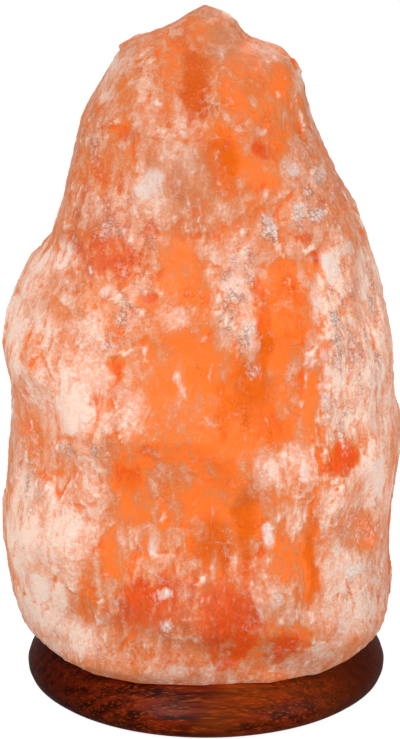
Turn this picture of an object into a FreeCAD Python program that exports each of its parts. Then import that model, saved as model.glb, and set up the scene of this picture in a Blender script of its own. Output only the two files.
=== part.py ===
"""Salt crystal lamp: a hewn block of rock salt on a turned wooden base, lit from inside by a small bulb.

The crystal is bored from below and screwed to the base. The bulb stands in a small lampholder that a spring clip
holds in the bore of the base, and the lampholder draws down out of the base to change the bulb.

Millimetres. +Z is up and -Y is the front. The origin is where the axis of the base meets the table.
"""

import FreeCAD, Part
import math
import os
from FreeCAD import Vector

UP = Vector(0, 0, 1)

# ------------------------------------------------------------------ sizes: the wooden base and its feet
base_radius = 65.0
base_thickness = 17.0
base_nose_height = 5.0  # the widest edge, above the underside
base_under_round = 2.5  # how far the under-edge is drawn in from the nose
base_shoulder_radius = 61.8
base_shoulder_height = 10.6  # above the underside, where the sloping side turns further in
base_top_radius = 57.0
base_top_chamfer = 1.2
base_bore_radius = 22.0
cord_channel_width = 9.0
cord_channel_depth = 8.0

foot_count = 4
foot_radius = 6.0
foot_height = 2.5
foot_recess = 1.0  # how deep the feet are let into the underside
foot_edge_chamfer = 0.6
foot_clearance = 0.2
foot_circle_radius = 50.0
foot_first_angle = 45.0
tack_head_radius = 2.6
tack_head_height = 0.9
tack_head_recess = 1.4
tack_shank_radius = 1.0
tack_length = 9.0

# ------------------------------------------------------------------ sizes: the screws that hold the crystal
screw_count = 3
screw_circle_radius = 38.0
screw_first_angle = 30.0
screw_head_radius = 4.0
screw_head_height = 2.6
screw_head_chamfer = 1.2
screw_shank_radius = 2.0
screw_length = 30.0
screw_point_length = 3.0
screw_pocket_radius = 4.8
screw_pocket_depth = 7.0
screw_clearance = 0.3
cross_slot_width = 0.9
cross_slot_length = 4.6
cross_slot_depth = 1.2

# ------------------------------------------------------------------ sizes: the crystal
crystal_sides = 20
crystal_squareness = 0.82  # 1 is a round section, less is a squarer one
crystal_lump = 0.055  # how far the hewn faces stand in or out, as a share of the reach
crystal_bore_oversize = 3.0  # wider than the bore of the base, so that the lampholder passes freely
crystal_bore_depth = 118.0
crystal_bore_cone = 7.0  # the drill's point
crystal_peak_height = 230.5
crystal_peak_x = -0.4
crystal_peak_y = 0.0
# Each level: its height above the base, then its reach to the left, right, front and back.
crystal_levels = (
    (0.0, 59.5, 59.5, 55.0, 54.0),
    (6.0, 65.8, 64.6, 60.0, 58.0),
    (13.0, 68.0, 66.6, 62.0, 60.0),
    (22.0, 71.4, 66.8, 62.5, 61.0),
    (36.0, 73.2, 66.2, 63.0, 60.0),
    (49.0, 73.2, 66.8, 62.5, 61.5),
    (62.0, 71.4, 68.4, 62.0, 62.0),
    (77.0, 69.4, 70.3, 61.5, 61.0),
    (92.0, 69.0, 67.2, 60.5, 59.0),
    (108.0, 72.4, 66.6, 58.5, 58.5),
    (121.0, 70.3, 63.9, 55.5, 57.5),
    (133.0, 65.6, 61.2, 52.0, 54.0),
    (146.0, 55.4, 57.4, 46.5, 52.5),
    (160.0, 50.6, 51.8, 44.0, 47.0),
    (175.0, 47.6, 43.2, 40.0, 43.5),
    (191.0, 43.6, 36.4, 35.0, 37.0),
    (204.0, 36.4, 33.6, 29.0, 30.0),
    (213.0, 31.4, 27.6, 21.0, 23.0),
    (218.5, 24.8, 14.8, 14.0, 15.5),
    (223.0, 13.0, 11.0, 9.0, 9.0),
    (227.0, 6.4, 7.6, 5.0, 5.5),
)
# Swells and hollows of the hewn faces: the direction they face, in degrees round from the right-hand side, their
# height above the base, how wide they spread, and how far they stand out (or in, below 0).
crystal_swells = (
    (262.0, 172.0, 15.0, -3.0),
    (266.0, 152.0, 12.0, 1.8),
    (285.0, 150.0, 12.0, 1.5),
    (298.0, 136.0, 13.0, -2.2),
    (271.0, 112.0, 15.0, -1.6),
    (230.0, 103.0, 15.0, 2.2),
    (225.0, 150.0, 13.0, -1.8),
    (312.0, 120.0, 18.0, 1.8),
    (310.0, 80.0, 14.0, 1.5),
    (322.0, 88.0, 10.0, -2.0),
    (222.0, 48.0, 18.0, 1.8),
    (247.0, 75.0, 13.0, -2.0),
    (275.0, 72.0, 14.0, 1.4),
    (255.0, 36.0, 14.0, -1.6),
    (296.0, 36.0, 16.0, 1.6),
    (90.0, 160.0, 18.0, -2.5),
    (75.0, 112.0, 16.0, -1.2),
    (110.0, 100.0, 18.0, -2.2),
    (95.0, 66.0, 16.0, 1.6),
    (130.0, 130.0, 16.0, 1.5),
    (50.0, 60.0, 18.0, -2.0),
    (120.0, 40.0, 15.0, -1.8),
    (75.0, 190.0, 12.0, 1.6),
)
# Hollow chips where flakes broke off: the direction they face, in degrees round from the right-hand side,
# their height above the base, the radius of the hollow and how deep it goes.
crystal_chips = (
    (252.0, 168.0, 62.0, 3.6),
    (291.0, 112.0, 40.0, 3.4),
    (213.0, 88.0, 36.0, 3.2),
    (262.0, 60.0, 70.0, 3.0),
    (322.0, 52.0, 44.0, 3.6),
    (20.0, 138.0, 60.0, 3.8),
    (62.0, 70.0, 66.0, 4.2),
    (108.0, 150.0, 58.0, 4.2),
    (142.0, 60.0, 52.0, 3.8),
)

# ------------------------------------------------------------------ sizes: the lampholder
holder_recess = 9.5  # the lampholder's floor, above the underside of the base
cap_floor = 3.0
cap_height = 8.0
cap_wall = 2.0
spigot_height = 8.0
sleeve_wall = 2.5
sleeve_height = 38.0
sleeve_mouth_chamfer = 1.2
sleeve_mouth_gap = 1.0  # the mouth's radius beyond that of the screw shell
slip_clearance = 0.1
block_thickness = 4.0
shell_inner_radius = 7.15
shell_wall = 0.4
shell_height = 22.0
shell_flange_width = 1.8
shell_flange_thickness = 0.5
shell_flange_margin = 1.65  # from the rim of the flange to the wall of the sleeve

nipple_radius = 5.0
nipple_bore_radius = 3.5
nipple_collar_width = 2.0
nipple_collar_height = 1.5
nipple_stub = 1.4  # what stands out below the nut
nut_wall = 2.0
nut_height = 3.0

strip_width = 3.6
strip_thickness = 0.4
contact_foot = 4.6  # how far from the axis the centre contact goes through its block
contact_rise = 3.6
side_contact_tongue = 2.6
terminal_radius = 2.4
terminal_height = 6.0
terminal_gap = 0.3  # between the terminals and the wall of the spigot
terminal_hole_radius = 1.1
terminal_screw_radius = 1.2
terminal_screw_head_radius = 1.9
terminal_screw_head_height = 1.0
terminal_screw_length = 2.2

clip_side_margin = 2.5  # of the clip beside the hole for the nipple
clip_thickness = 0.6
clip_bend_radius = 1.4
clip_bore_gap = 0.3  # the clip's wings stand this far off the bore of the base
clip_shoulder_rise = 3.4
clip_wing_height = 19.0
clip_end_gap = 2.2  # between the free ends of the wings and the sleeve

# ------------------------------------------------------------------ sizes: the bulb
bulb_radius = 13.0
bulb_straight = 8.0
bulb_shoulder = 17.0
bulb_glass_wall = 0.7
bulb_bands = 4  # conical bands that make up each curve of the glass
bulb_neck_depth = 7.0  # how deep the glass goes into its metal cap
thread_clearance = 0.2  # between the bulb's cap and the screw shell
metal_wall = 0.3
screw_cap_height = 16.0
collar_height = 2.0
collar_flare = 1.0
insulator_height = 3.5
insulator_end_radius = 2.7
tip_radius = 2.3
tip_end_radius = 1.1
tip_height = 1.5
contact_gap = 0.2
stem_flare_height = 1.2
stem_radius = 2.2
stem_height = 12.0
press_width = 6.0
press_thickness = 1.6
press_height = 4.0
support_rod_radius = 0.5
support_rod_height = 13.0
lead_wire_radius = 0.25
lead_wire_spread = 5.0
lead_wire_height = 11.0
hook_height = 2.6
hook_gap = 0.15  # between the hook and the filament over it
filament_radius = 0.3

# ------------------------------------------------------------------ heights that follow from the sizes
base_underside = foot_height - foot_recess
base_nose = base_underside + base_nose_height
base_top = base_underside + base_thickness
holder_floor = base_underside + holder_recess
cap_top = holder_floor + cap_height
block_bottom = cap_top + spigot_height
block_top = block_bottom + block_thickness
sleeve_top = cap_top + sleeve_height
bulb_bottom = block_top + contact_rise + contact_gap
insulator_bottom = bulb_bottom + tip_height
screw_cap_bottom = insulator_bottom + insulator_height
screw_cap_top = screw_cap_bottom + screw_cap_height
glass_bottom = screw_cap_top - bulb_neck_depth
glass_shoulder = screw_cap_top + collar_height
glass_widest = glass_shoulder + bulb_shoulder
glass_dome = glass_widest + bulb_straight

# ------------------------------------------------------------------ radii that follow from the sizes
crystal_bore_radius = base_bore_radius + crystal_bore_oversize
shell_outer_radius = shell_inner_radius + shell_wall
shell_flange_radius = shell_outer_radius + shell_flange_width
sleeve_inner_radius = shell_flange_radius + shell_flange_margin
holder_radius = sleeve_inner_radius + sleeve_wall
spigot_radius = sleeve_inner_radius - slip_clearance
spigot_inner_radius = spigot_radius - cap_wall
mouth_radius = shell_outer_radius + sleeve_mouth_gap
terminal_place = spigot_inner_radius - terminal_radius - terminal_gap
side_contact_place = (shell_inner_radius + shell_flange_radius) / 2
clip_width = 2 * (nipple_radius + clip_side_margin)
thread_radius = shell_inner_radius - thread_clearance
glass_neck_radius = thread_radius - metal_wall


# ------------------------------------------------------------------ helpers
def at(x, z):
    """A point of a profile, in the plane of X and Z."""
    return Vector(x, 0, z)


def lines(points):
    """Straight edges through the points."""
    return [Part.makeLine(a, b) for a, b in zip(points, points[1:])]


def arc(start, middle, end):
    return Part.Arc(start, middle, end).toShape()


def revolved(edges):
    """A solid of revolution about Z from the edges of a closed profile."""
    wire = Part.Wire(Part.__sortEdges__(edges))
    return Part.Face(wire).revolve(Vector(0, 0, 0), UP, 360)


def turned(points):
    """A solid of revolution from the corners of a closed straight-sided profile."""
    return revolved(lines(list(points) + [points[0]]))


def cylinder(radius, bottom, top, x=0.0, y=0.0):
    return Part.makeCylinder(radius, top - bottom, Vector(x, y, bottom), UP)


def centred_box(size_x, size_y, bottom, top, x=0.0, y=0.0):
    return Part.makeBox(size_x, size_y, top - bottom, Vector(x - size_x / 2, y - size_y / 2, bottom))


def around(count, radius, first_angle):
    """Evenly spaced places on a circle about the axis."""
    places = []
    for k in range(count):
        angle = math.radians(first_angle + 360.0 * k / count)
        places.append((radius * math.cos(angle), radius * math.sin(angle)))
    return places


def moved_to(shape, x, y, z=0.0):
    copy = shape.copy()
    copy.translate(Vector(x, y, z))
    return copy


def bent_strip(points, width, thickness, bend_radius):
    """Sheet metal of the given width, bent along a line through the points, which lie in the plane of X and Z."""
    edges = []
    start = points[0]
    for before, corner, after in zip(points, points[1:], points[2:]):
        to_before = (before - corner).normalize()
        to_after = (after - corner).normalize()
        half_angle = to_before.getAngle(to_after) / 2
        setback = bend_radius / math.tan(half_angle)
        bend_start = corner + to_before * setback
        bend_end = corner + to_after * setback
        towards_centre = (to_before + to_after).normalize()
        bend_middle = corner + towards_centre * (bend_radius / math.sin(half_angle) - bend_radius)
        edges.append(Part.makeLine(start, bend_start))
        edges.append(arc(bend_start, bend_middle, bend_end))
        start = bend_end
    edges.append(Part.makeLine(start, points[-1]))
    along = (points[1] - points[0]).normalize()
    across = Vector(0, 1, 0) * (width / 2)
    normal = along.cross(Vector(0, 1, 0)) * (thickness / 2)
    first = points[0]
    corners = [first + across + normal, first - across + normal, first - across - normal, first + across - normal]
    section = Part.makePolygon(corners + [corners[0]])
    return Part.Wire(edges).makePipeShell([section], True, False)


def round_wire(points, radius):
    """A straight-run wire through the points, with a ball at each bend."""
    solid = None
    for a, b in zip(points, points[1:]):
        run = Part.makeCylinder(radius, (b - a).Length, a, b - a)
        solid = run if solid is None else solid.fuse(run)
    for corner in points[1:-1]:
        solid = solid.fuse(Part.makeSphere(radius, corner))
    return solid.removeSplitter()


# ------------------------------------------------------------------ the wooden base
def base_blank():
    """The turned disc: a rounded under-edge up to the nose, then a side that slopes in to the seat of the crystal."""
    quarter = math.cos(math.pi / 4)
    under_radius = base_radius - base_under_round
    under_edge = at(under_radius, base_underside)
    nose = at(base_radius, base_nose)
    under_middle = at(under_radius + base_under_round * quarter, base_nose - base_nose_height * quarter)
    side = lines(
        [
            nose,
            at(base_shoulder_radius, base_underside + base_shoulder_height),
            at(base_top_radius, base_top - base_top_chamfer),
            at(base_top_radius - base_top_chamfer, base_top),
            at(base_bore_radius, base_top),
            at(base_bore_radius, base_underside),
            under_edge,
        ]
    )
    return revolved([arc(under_edge, under_middle, nose)] + side)


def cord_channel():
    """A groove with a round roof, from the bore to the back edge, so that the base stands flat over the cord."""
    roof_radius = cord_channel_width / 2
    side_top = base_underside + cord_channel_depth - roof_radius
    groove = Part.makeBox(
        cord_channel_width, base_radius + foot_radius, side_top, Vector(-roof_radius, 0, 0)
    )
    roof = Part.makeCylinder(roof_radius, base_radius + foot_radius, Vector(0, 0, side_top), Vector(0, 1, 0))
    return groove.fuse(roof)


def wooden_base():
    base = base_blank().cut(cord_channel())
    for x, y in around(screw_count, screw_circle_radius, screw_first_angle):
        pocket = cylinder(screw_pocket_radius, base_underside, base_underside + screw_pocket_depth, x, y)
        hole = cylinder(screw_shank_radius + screw_clearance, base_underside, base_top, x, y)
        base = base.cut(pocket).cut(hole)
    for x, y in around(foot_count, foot_circle_radius, foot_first_angle):
        recess = cylinder(foot_radius + foot_clearance, base_underside, foot_height, x, y)
        base = base.cut(recess).cut(moved_to(tack(), x, y))
    return base


# ------------------------------------------------------------------ feet, tacks and screws
def rubber_foot():
    """A rubber disc with a bevelled lower edge and a pocket for the head of its tack."""
    pocket_radius = tack_head_radius + foot_clearance
    return turned(
        [
            at(foot_radius - foot_edge_chamfer, 0),
            at(foot_radius, foot_edge_chamfer),
            at(foot_radius, foot_height),
            at(tack_shank_radius, foot_height),
            at(tack_shank_radius, tack_head_recess),
            at(pocket_radius, tack_head_recess),
            at(pocket_radius, 0),
        ]
    )


def tack():
    """A flat-headed tack that goes up through a foot into the wood."""
    head_bottom = tack_head_recess - tack_head_height
    point = tack_head_recess + tack_length
    return turned(
        [
            at(0, head_bottom),
            at(tack_head_radius, head_bottom),
            at(tack_head_radius, tack_head_recess),
            at(tack_shank_radius, tack_head_recess),
            at(tack_shank_radius, point - 2 * tack_shank_radius),
            at(tack_shank_radius / 3, point),
            at(0, point),
        ]
    )


def screw_body():
    """The shank and point of a crystal screw, which go up through the base into the salt."""
    seat = base_underside + screw_pocket_depth
    shoulder = seat + screw_length - screw_point_length
    return turned(
        [
            at(0, seat),
            at(screw_shank_radius, seat),
            at(screw_shank_radius, shoulder),
            at(screw_shank_radius / 4, shoulder + screw_point_length),
            at(0, shoulder + screw_point_length),
        ]
    )


def crystal_screw():
    """A pan-headed screw with a cross slot, its head up in the pocket of the base."""
    seat = base_underside + screw_pocket_depth
    crown = seat - screw_head_height
    head = turned(
        [
            at(0, crown),
            at(screw_head_radius - screw_head_chamfer, crown),
            at(screw_head_radius, crown + screw_head_chamfer),
            at(screw_head_radius, seat),
            at(0, seat),
        ]
    )
    screw = head.fuse(screw_body())
    for long_x, long_y in ((cross_slot_length, cross_slot_width), (cross_slot_width, cross_slot_length)):
        screw = screw.cut(centred_box(long_x, long_y, crown - 1, crown + cross_slot_depth))
    return screw.removeSplitter()


# ------------------------------------------------------------------ the crystal
def swell_at(angle, height, reach):
    """How far the swells and hollows move the surface out, at one place on it."""
    total = 0.0
    for facing, middle, spread, amount in crystal_swells:
        turn = (angle - math.radians(facing) + math.pi) % (2 * math.pi) - math.pi
        distance = math.hypot(turn * reach, height - middle)
        total += amount * math.exp(-((distance / spread) ** 2))
    return total


def crystal_section(number):
    """The corners of one level of the crystal, from its reach each way, with hewn faces between."""
    height, left, right, front, back = crystal_levels[number]
    corners = []
    for side in range(crystal_sides):
        angle = 2 * math.pi * side / crystal_sides
        c = math.cos(angle)
        s = math.sin(angle)
        reach_x = right if c > 0 else left
        reach_y = back if s > 0 else front
        lump = math.sin(3 * angle + 1.7 * number) + 0.6 * math.sin(5 * angle - 1.1 * number)
        x = math.copysign(abs(c) ** crystal_squareness, c) * reach_x
        y = math.copysign(abs(s) ** crystal_squareness, s) * reach_y
        reach = math.hypot(x, y)
        swell = 1 + s * s * (crystal_lump * lump + swell_at(angle, height, reach) / reach)
        x *= swell
        y *= swell
        corners.append(Vector(x, y, base_top + height))
    return corners


def crystal_block():
    """The hewn block: flat faces between one level's corners and the next, closed by a flat foot and a peak."""
    sections = [crystal_section(number) for number in range(len(crystal_levels))]
    peak = Vector(crystal_peak_x, crystal_peak_y, base_top + crystal_peak_height)
    faces = [Part.Face(Part.makePolygon(sections[0] + [sections[0][0]]))]
    for number, (lower, upper) in enumerate(zip(sections, sections[1:])):
        for side in range(crystal_sides):
            following = (side + 1) % crystal_sides
            a, b, c, d = lower[side], lower[following], upper[following], upper[side]
            halves = ((a, b, c), (a, c, d)) if (side + number) % 2 else ((a, b, d), (b, c, d))
            faces += [Part.Face(Part.makePolygon([p, q, r, p])) for p, q, r in halves]
    last = sections[-1]
    for side in range(crystal_sides):
        following = (side + 1) % crystal_sides
        faces.append(Part.Face(Part.makePolygon([last[side], last[following], peak, last[side]])))
    block = Part.makeSolid(Part.makeShell(faces))
    return block if block.Volume > 0 else block.reversed()


def surface_radius(block, direction, height):
    """How far the block reaches from its axis in one direction, at one height."""
    ray = Part.makeLine(Vector(0, 0, height), Vector(0, 0, height) + direction * (3 * base_radius))
    inside = block.common(ray)
    return max(vertex.Point.sub(Vector(0, 0, height)).Length for vertex in inside.Vertexes)


def salt_crystal():
    """The block with its chips struck off, bored for the bulb and drilled for the screws."""
    block = crystal_block()
    crystal = block
    for facing, height, hollow_radius, depth in crystal_chips:
        angle = math.radians(facing)
        direction = Vector(math.cos(angle), math.sin(angle), 0)
        reach = surface_radius(block, direction, base_top + height)
        centre = direction * (reach - depth + hollow_radius) + UP * (base_top + height)
        crystal = crystal.cut(Part.makeSphere(hollow_radius, centre))
    bore_end = base_top + crystal_bore_depth
    bore = turned(
        [
            at(0, base_underside),
            at(crystal_bore_radius, base_underside),
            at(crystal_bore_radius, bore_end),
            at(0, bore_end + crystal_bore_cone),
        ]
    )
    crystal = crystal.cut(bore)
    for x, y in around(screw_count, screw_circle_radius, screw_first_angle):
        crystal = crystal.cut(moved_to(screw_body(), x, y))
    return crystal


# ------------------------------------------------------------------ the lampholder
def holder_cap():
    """The lower half of the lampholder: a cup with a hole for the nipple and a spigot for the sleeve."""
    hole_radius = nipple_radius + slip_clearance
    return turned(
        [
            at(hole_radius, holder_floor),
            at(holder_radius, holder_floor),
            at(holder_radius, cap_top),
            at(spigot_radius, cap_top),
            at(spigot_radius, block_bottom),
            at(spigot_inner_radius, block_bottom),
            at(spigot_inner_radius, holder_floor + cap_floor),
            at(hole_radius, holder_floor + cap_floor),
        ]
    )


def holder_sleeve():
    """The upper half: wide below, where it goes over the spigot and the contact block, and narrow at the mouth."""
    shoulder = block_top + shell_flange_thickness + slip_clearance
    return turned(
        [
            at(sleeve_inner_radius, cap_top),
            at(holder_radius, cap_top),
            at(holder_radius, sleeve_top - sleeve_mouth_chamfer),
            at(holder_radius - sleeve_mouth_chamfer, sleeve_top),
            at(mouth_radius + sleeve_mouth_chamfer, sleeve_top),
            at(mouth_radius, sleeve_top - sleeve_mouth_chamfer),
            at(mouth_radius, shoulder),
            at(sleeve_inner_radius, shoulder),
        ]
    )


def contact_block():
    """The insulating disc on top of the spigot, slotted for the two contact strips."""
    block = cylinder(spigot_radius, block_bottom, block_top)
    slot_x = strip_thickness + 2 * slip_clearance
    slot_y = strip_width + 2 * slip_clearance
    for x in (-contact_foot, side_contact_place):
        block = block.cut(centred_box(slot_x, slot_y, block_bottom, block_top, x))
    groove_length = side_contact_tongue + slip_clearance
    groove_place = side_contact_place - groove_length / 2
    return block.cut(centred_box(groove_length, slot_y, block_top - strip_thickness, block_top, groove_place))


def screw_shell():
    """The metal sleeve that the bulb screws into, standing on a flange that the sleeve's shoulder holds down."""
    return turned(
        [
            at(shell_inner_radius, block_top),
            at(shell_flange_radius, block_top),
            at(shell_flange_radius, block_top + shell_flange_thickness),
            at(shell_outer_radius, block_top + shell_flange_thickness),
            at(shell_outer_radius, block_top + shell_height),
            at(shell_inner_radius, block_top + shell_height),
        ]
    )


def centre_contact():
    """The springy tongue under the bulb's tip. Its tail goes down through the block to a terminal."""
    half = strip_thickness / 2
    tongue_top = block_top + contact_rise - half
    return bent_strip(
        [
            at(-terminal_place - terminal_radius, block_bottom - half),
            at(-contact_foot, block_bottom - half),
            at(-contact_foot, block_top + half + contact_rise * 0.3),
            at(-tip_radius * 0.4, tongue_top),
            at(tip_radius * 0.9, tongue_top),
        ],
        strip_width,
        strip_thickness,
        strip_thickness,
    )


def side_contact():
    """The strip under the flange of the screw shell, which goes down through the block to the other terminal."""
    half = strip_thickness / 2
    return bent_strip(
        [
            at(terminal_place - terminal_radius, block_bottom - half),
            at(side_contact_place, block_bottom - half),
            at(side_contact_place, block_top - half),
            at(side_contact_place - side_contact_tongue, block_top - half),
        ],
        strip_width,
        strip_thickness,
        strip_thickness,
    )


def terminal_barrel():
    """A brass barrel under a contact strip, with a cross hole for the wire and a tapped hole from below."""
    top = block_bottom - strip_thickness
    bottom = top - terminal_height
    middle = (top + bottom) / 2
    barrel = cylinder(terminal_radius, bottom, top)
    wire_hole = Part.makeCylinder(
        terminal_hole_radius, 4 * terminal_radius, Vector(0, -2 * terminal_radius, middle), Vector(0, 1, 0)
    )
    return barrel.cut(wire_hole).cut(cylinder(terminal_screw_radius, bottom, middle))


def terminal_screw():
    """The clamping screw of a terminal, with its slotted head below the barrel."""
    barrel_bottom = block_bottom - strip_thickness - terminal_height
    head_bottom = barrel_bottom - terminal_screw_head_height
    screw = cylinder(terminal_screw_head_radius, head_bottom, barrel_bottom)
    screw = screw.fuse(cylinder(terminal_screw_radius, barrel_bottom, barrel_bottom + terminal_screw_length))
    slot = centred_box(
        2 * terminal_screw_head_radius, strip_thickness, head_bottom, head_bottom + terminal_screw_head_height / 2
    )
    return screw.removeSplitter().cut(slot)


def entry_nipple():
    """The hollow threaded tube that the cord comes in through, held by its collar inside the cap."""
    collar_bottom = holder_floor + cap_floor
    bottom = holder_floor - clip_thickness - nut_height - nipple_stub
    return turned(
        [
            at(nipple_bore_radius, bottom),
            at(nipple_radius, bottom),
            at(nipple_radius, collar_bottom),
            at(nipple_radius + nipple_collar_width, collar_bottom),
            at(nipple_radius + nipple_collar_width, collar_bottom + nipple_collar_height),
            at(nipple_bore_radius, collar_bottom + nipple_collar_height),
        ]
    )


def nipple_nut():
    """The hexagon nut that draws the clip and the cap up against the nipple's collar."""
    top = holder_floor - clip_thickness
    corner_radius = (nipple_radius + nut_wall) / math.cos(math.pi / 6)
    corners = []
    for x, y in around(6, corner_radius, 0.0):
        corners.append(Vector(x, y, top - nut_height))
    hexagon = Part.Face(Part.makePolygon(corners + [corners[0]])).extrude(UP * nut_height)
    return hexagon.cut(cylinder(nipple_radius, top - nut_height, top))


def spring_clip():
    """One bent strip of spring steel: a bridge under the cap, and two wings that bear on the bore of the base."""
    bridge = holder_floor - clip_thickness / 2
    corner_reach = base_bore_radius - clip_bore_gap
    widest = math.sqrt(corner_reach**2 - (clip_width / 2) ** 2) - clip_thickness / 2
    shoulder = bridge + clip_shoulder_rise
    free_end = holder_radius + clip_end_gap + clip_thickness / 2
    right = [
        at(0, bridge),
        at(holder_radius + clip_bend_radius, bridge),
        at(widest, shoulder),
        at(free_end, shoulder + clip_wing_height),
    ]
    left = [Vector(-p.x, 0, p.z) for p in right]
    strip = bent_strip(right, clip_width, clip_thickness, clip_bend_radius)
    strip = strip.fuse(bent_strip(left, clip_width, clip_thickness, clip_bend_radius)).removeSplitter()
    return strip.cut(cylinder(nipple_radius, holder_floor - clip_thickness, holder_floor))


# ------------------------------------------------------------------ the bulb
def glass_outline(radius, neck_radius):
    """One wall of the glass: a straight neck, a swell in an S-curve, a straight side and a round dome."""
    points = [at(neck_radius, glass_bottom)]
    for k in range(bulb_bands + 1):
        swell = (1 - math.cos(math.pi * k / bulb_bands)) / 2
        x = neck_radius + (radius - neck_radius) * swell
        points.append(at(x, glass_shoulder + bulb_shoulder * k / bulb_bands))
    for k in range(bulb_bands):
        turn = math.pi / 2 * k / bulb_bands
        points.append(at(radius * math.cos(turn), glass_dome + radius * math.sin(turn)))
    points.append(at(0, glass_dome + radius))
    return points


def bulb_glass():
    """The blown envelope, open at the neck, which is cemented into the metal cap."""
    outside = glass_outline(bulb_radius, glass_neck_radius)
    inside = glass_outline(bulb_radius - bulb_glass_wall, glass_neck_radius - bulb_glass_wall)
    return turned(outside + inside[::-1])


def bulb_screw_cap():
    """The metal cap that the bulb screws in by, with a flared collar round the neck of the glass."""
    flare = thread_radius + collar_flare
    return turned(
        [
            at(thread_radius - metal_wall, screw_cap_bottom),
            at(thread_radius, screw_cap_bottom),
            at(thread_radius, screw_cap_top),
            at(flare, screw_cap_top + collar_height),
            at(flare - metal_wall, screw_cap_top + collar_height),
            at(thread_radius - metal_wall, screw_cap_top),
        ]
    )


def cap_insulator():
    """The dark glass ring between the screw cap and the tip."""
    return turned(
        [
            at(0, insulator_bottom),
            at(insulator_end_radius, insulator_bottom),
            at(thread_radius, screw_cap_bottom),
            at(0, screw_cap_bottom),
        ]
    )


def bulb_tip():
    """The soldered contact at the very end."""
    return turned(
        [
            at(0, bulb_bottom),
            at(tip_end_radius, bulb_bottom),
            at(tip_radius, insulator_bottom),
            at(0, insulator_bottom),
        ]
    )


def glass_stem():
    """The glass foot that closes the neck and carries the wires: a flare, a tube, a flat press and a thin rod."""
    tube_top = glass_bottom + stem_height
    press_top = tube_top + press_height
    flare_radius = glass_neck_radius - bulb_glass_wall - slip_clearance
    stem = cylinder(flare_radius, glass_bottom, glass_bottom + stem_flare_height)
    stem = stem.fuse(cylinder(stem_radius, glass_bottom, tube_top))
    stem = stem.fuse(centred_box(press_width, press_thickness, tube_top, press_top))
    stem = stem.fuse(cylinder(support_rod_radius, press_top, press_top + support_rod_height))
    return stem.removeSplitter()


def lead_wires():
    """Two wires that spread from the press to the ends of the filament."""
    press_top = glass_bottom + stem_height + press_height
    wires = []
    for side in (-1, 1):
        root = at(side * (press_width / 2 - 2 * lead_wire_radius), press_top)
        knee = at(side * press_width / 2, press_top + lead_wire_height / 3)
        tip = at(side * lead_wire_spread, press_top + lead_wire_height)
        wires.append(round_wire([root, knee, tip], lead_wire_radius))
    return Part.makeCompound(wires)


def filament():
    """The glowing wire, from one lead wire over the hook on the rod to the other."""
    press_top = glass_bottom + stem_height + press_height
    ends = press_top + lead_wire_height + lead_wire_radius + filament_radius
    hook = press_top + support_rod_height + hook_height
    return round_wire([at(-lead_wire_spread, ends), at(0, hook), at(lead_wire_spread, ends)], filament_radius)


def filament_hook():
    """The little wire post on top of the rod that the filament hangs over."""
    rod_top = glass_bottom + stem_height + press_height + support_rod_height
    return cylinder(lead_wire_radius, rod_top, rod_top + hook_height - filament_radius - hook_gap)


# ------------------------------------------------------------------ the whole lamp
def copies(shape, places):
    return Part.makeCompound([moved_to(shape, x, y) for x, y in places])


screw_places = around(screw_count, screw_circle_radius, screw_first_angle)
foot_places = around(foot_count, foot_circle_radius, foot_first_angle)
terminal_places = [(-terminal_place, 0.0), (terminal_place, 0.0)]

parts = {
    "salt_crystal": salt_crystal(),
    "wooden_base": wooden_base(),
    "crystal_screws": copies(crystal_screw(), screw_places),
    "rubber_feet": copies(rubber_foot(), foot_places),
    "foot_tacks": copies(tack(), foot_places),
    "holder_cap": holder_cap(),
    "holder_sleeve": holder_sleeve(),
    "contact_block": contact_block(),
    "screw_shell": screw_shell(),
    "centre_contact": centre_contact(),
    "side_contact": side_contact(),
    "terminal_barrels": copies(terminal_barrel(), terminal_places),
    "terminal_screws": copies(terminal_screw(), terminal_places),
    "entry_nipple": entry_nipple(),
    "nipple_nut": nipple_nut(),
    "spring_clip": spring_clip(),
    "bulb_glass": bulb_glass(),
    "bulb_screw_cap": bulb_screw_cap(),
    "cap_insulator": cap_insulator(),
    "bulb_tip": bulb_tip(),
    "glass_stem": glass_stem(),
    "lead_wires": lead_wires(),
    "filament": filament(),
    "filament_hook": filament_hook(),
}

os.makedirs("parts", exist_ok=True)
for name, shape in parts.items():
    shape.exportStep("parts/" + name + ".step")
    bounds = shape.BoundBox
    print(
        f"{name}: {len(shape.Solids)} solid(s), valid {shape.isValid()}, {shape.Volume:.0f} mm3,"
        f" z {bounds.ZMin:.1f} to {bounds.ZMax:.1f}"
    )
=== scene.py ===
"""Salt crystal lamp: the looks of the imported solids. A hewn block of rock salt, lit from inside by a small bulb,
stands on a turned mahogany base.

Run as a script, it registers its panel and operators and calls them in order. Sizes are metres unless a name
says millimetres. The pieces stay in the frame of the solids: +Z is up and -Y is the front.
"""

import math
import random
from functools import partial

import bmesh
import bpy
import numpy as np
from bpy.props import FloatProperty, FloatVectorProperty, IntProperty, PointerProperty
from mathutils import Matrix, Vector, kdtree, noise


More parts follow.
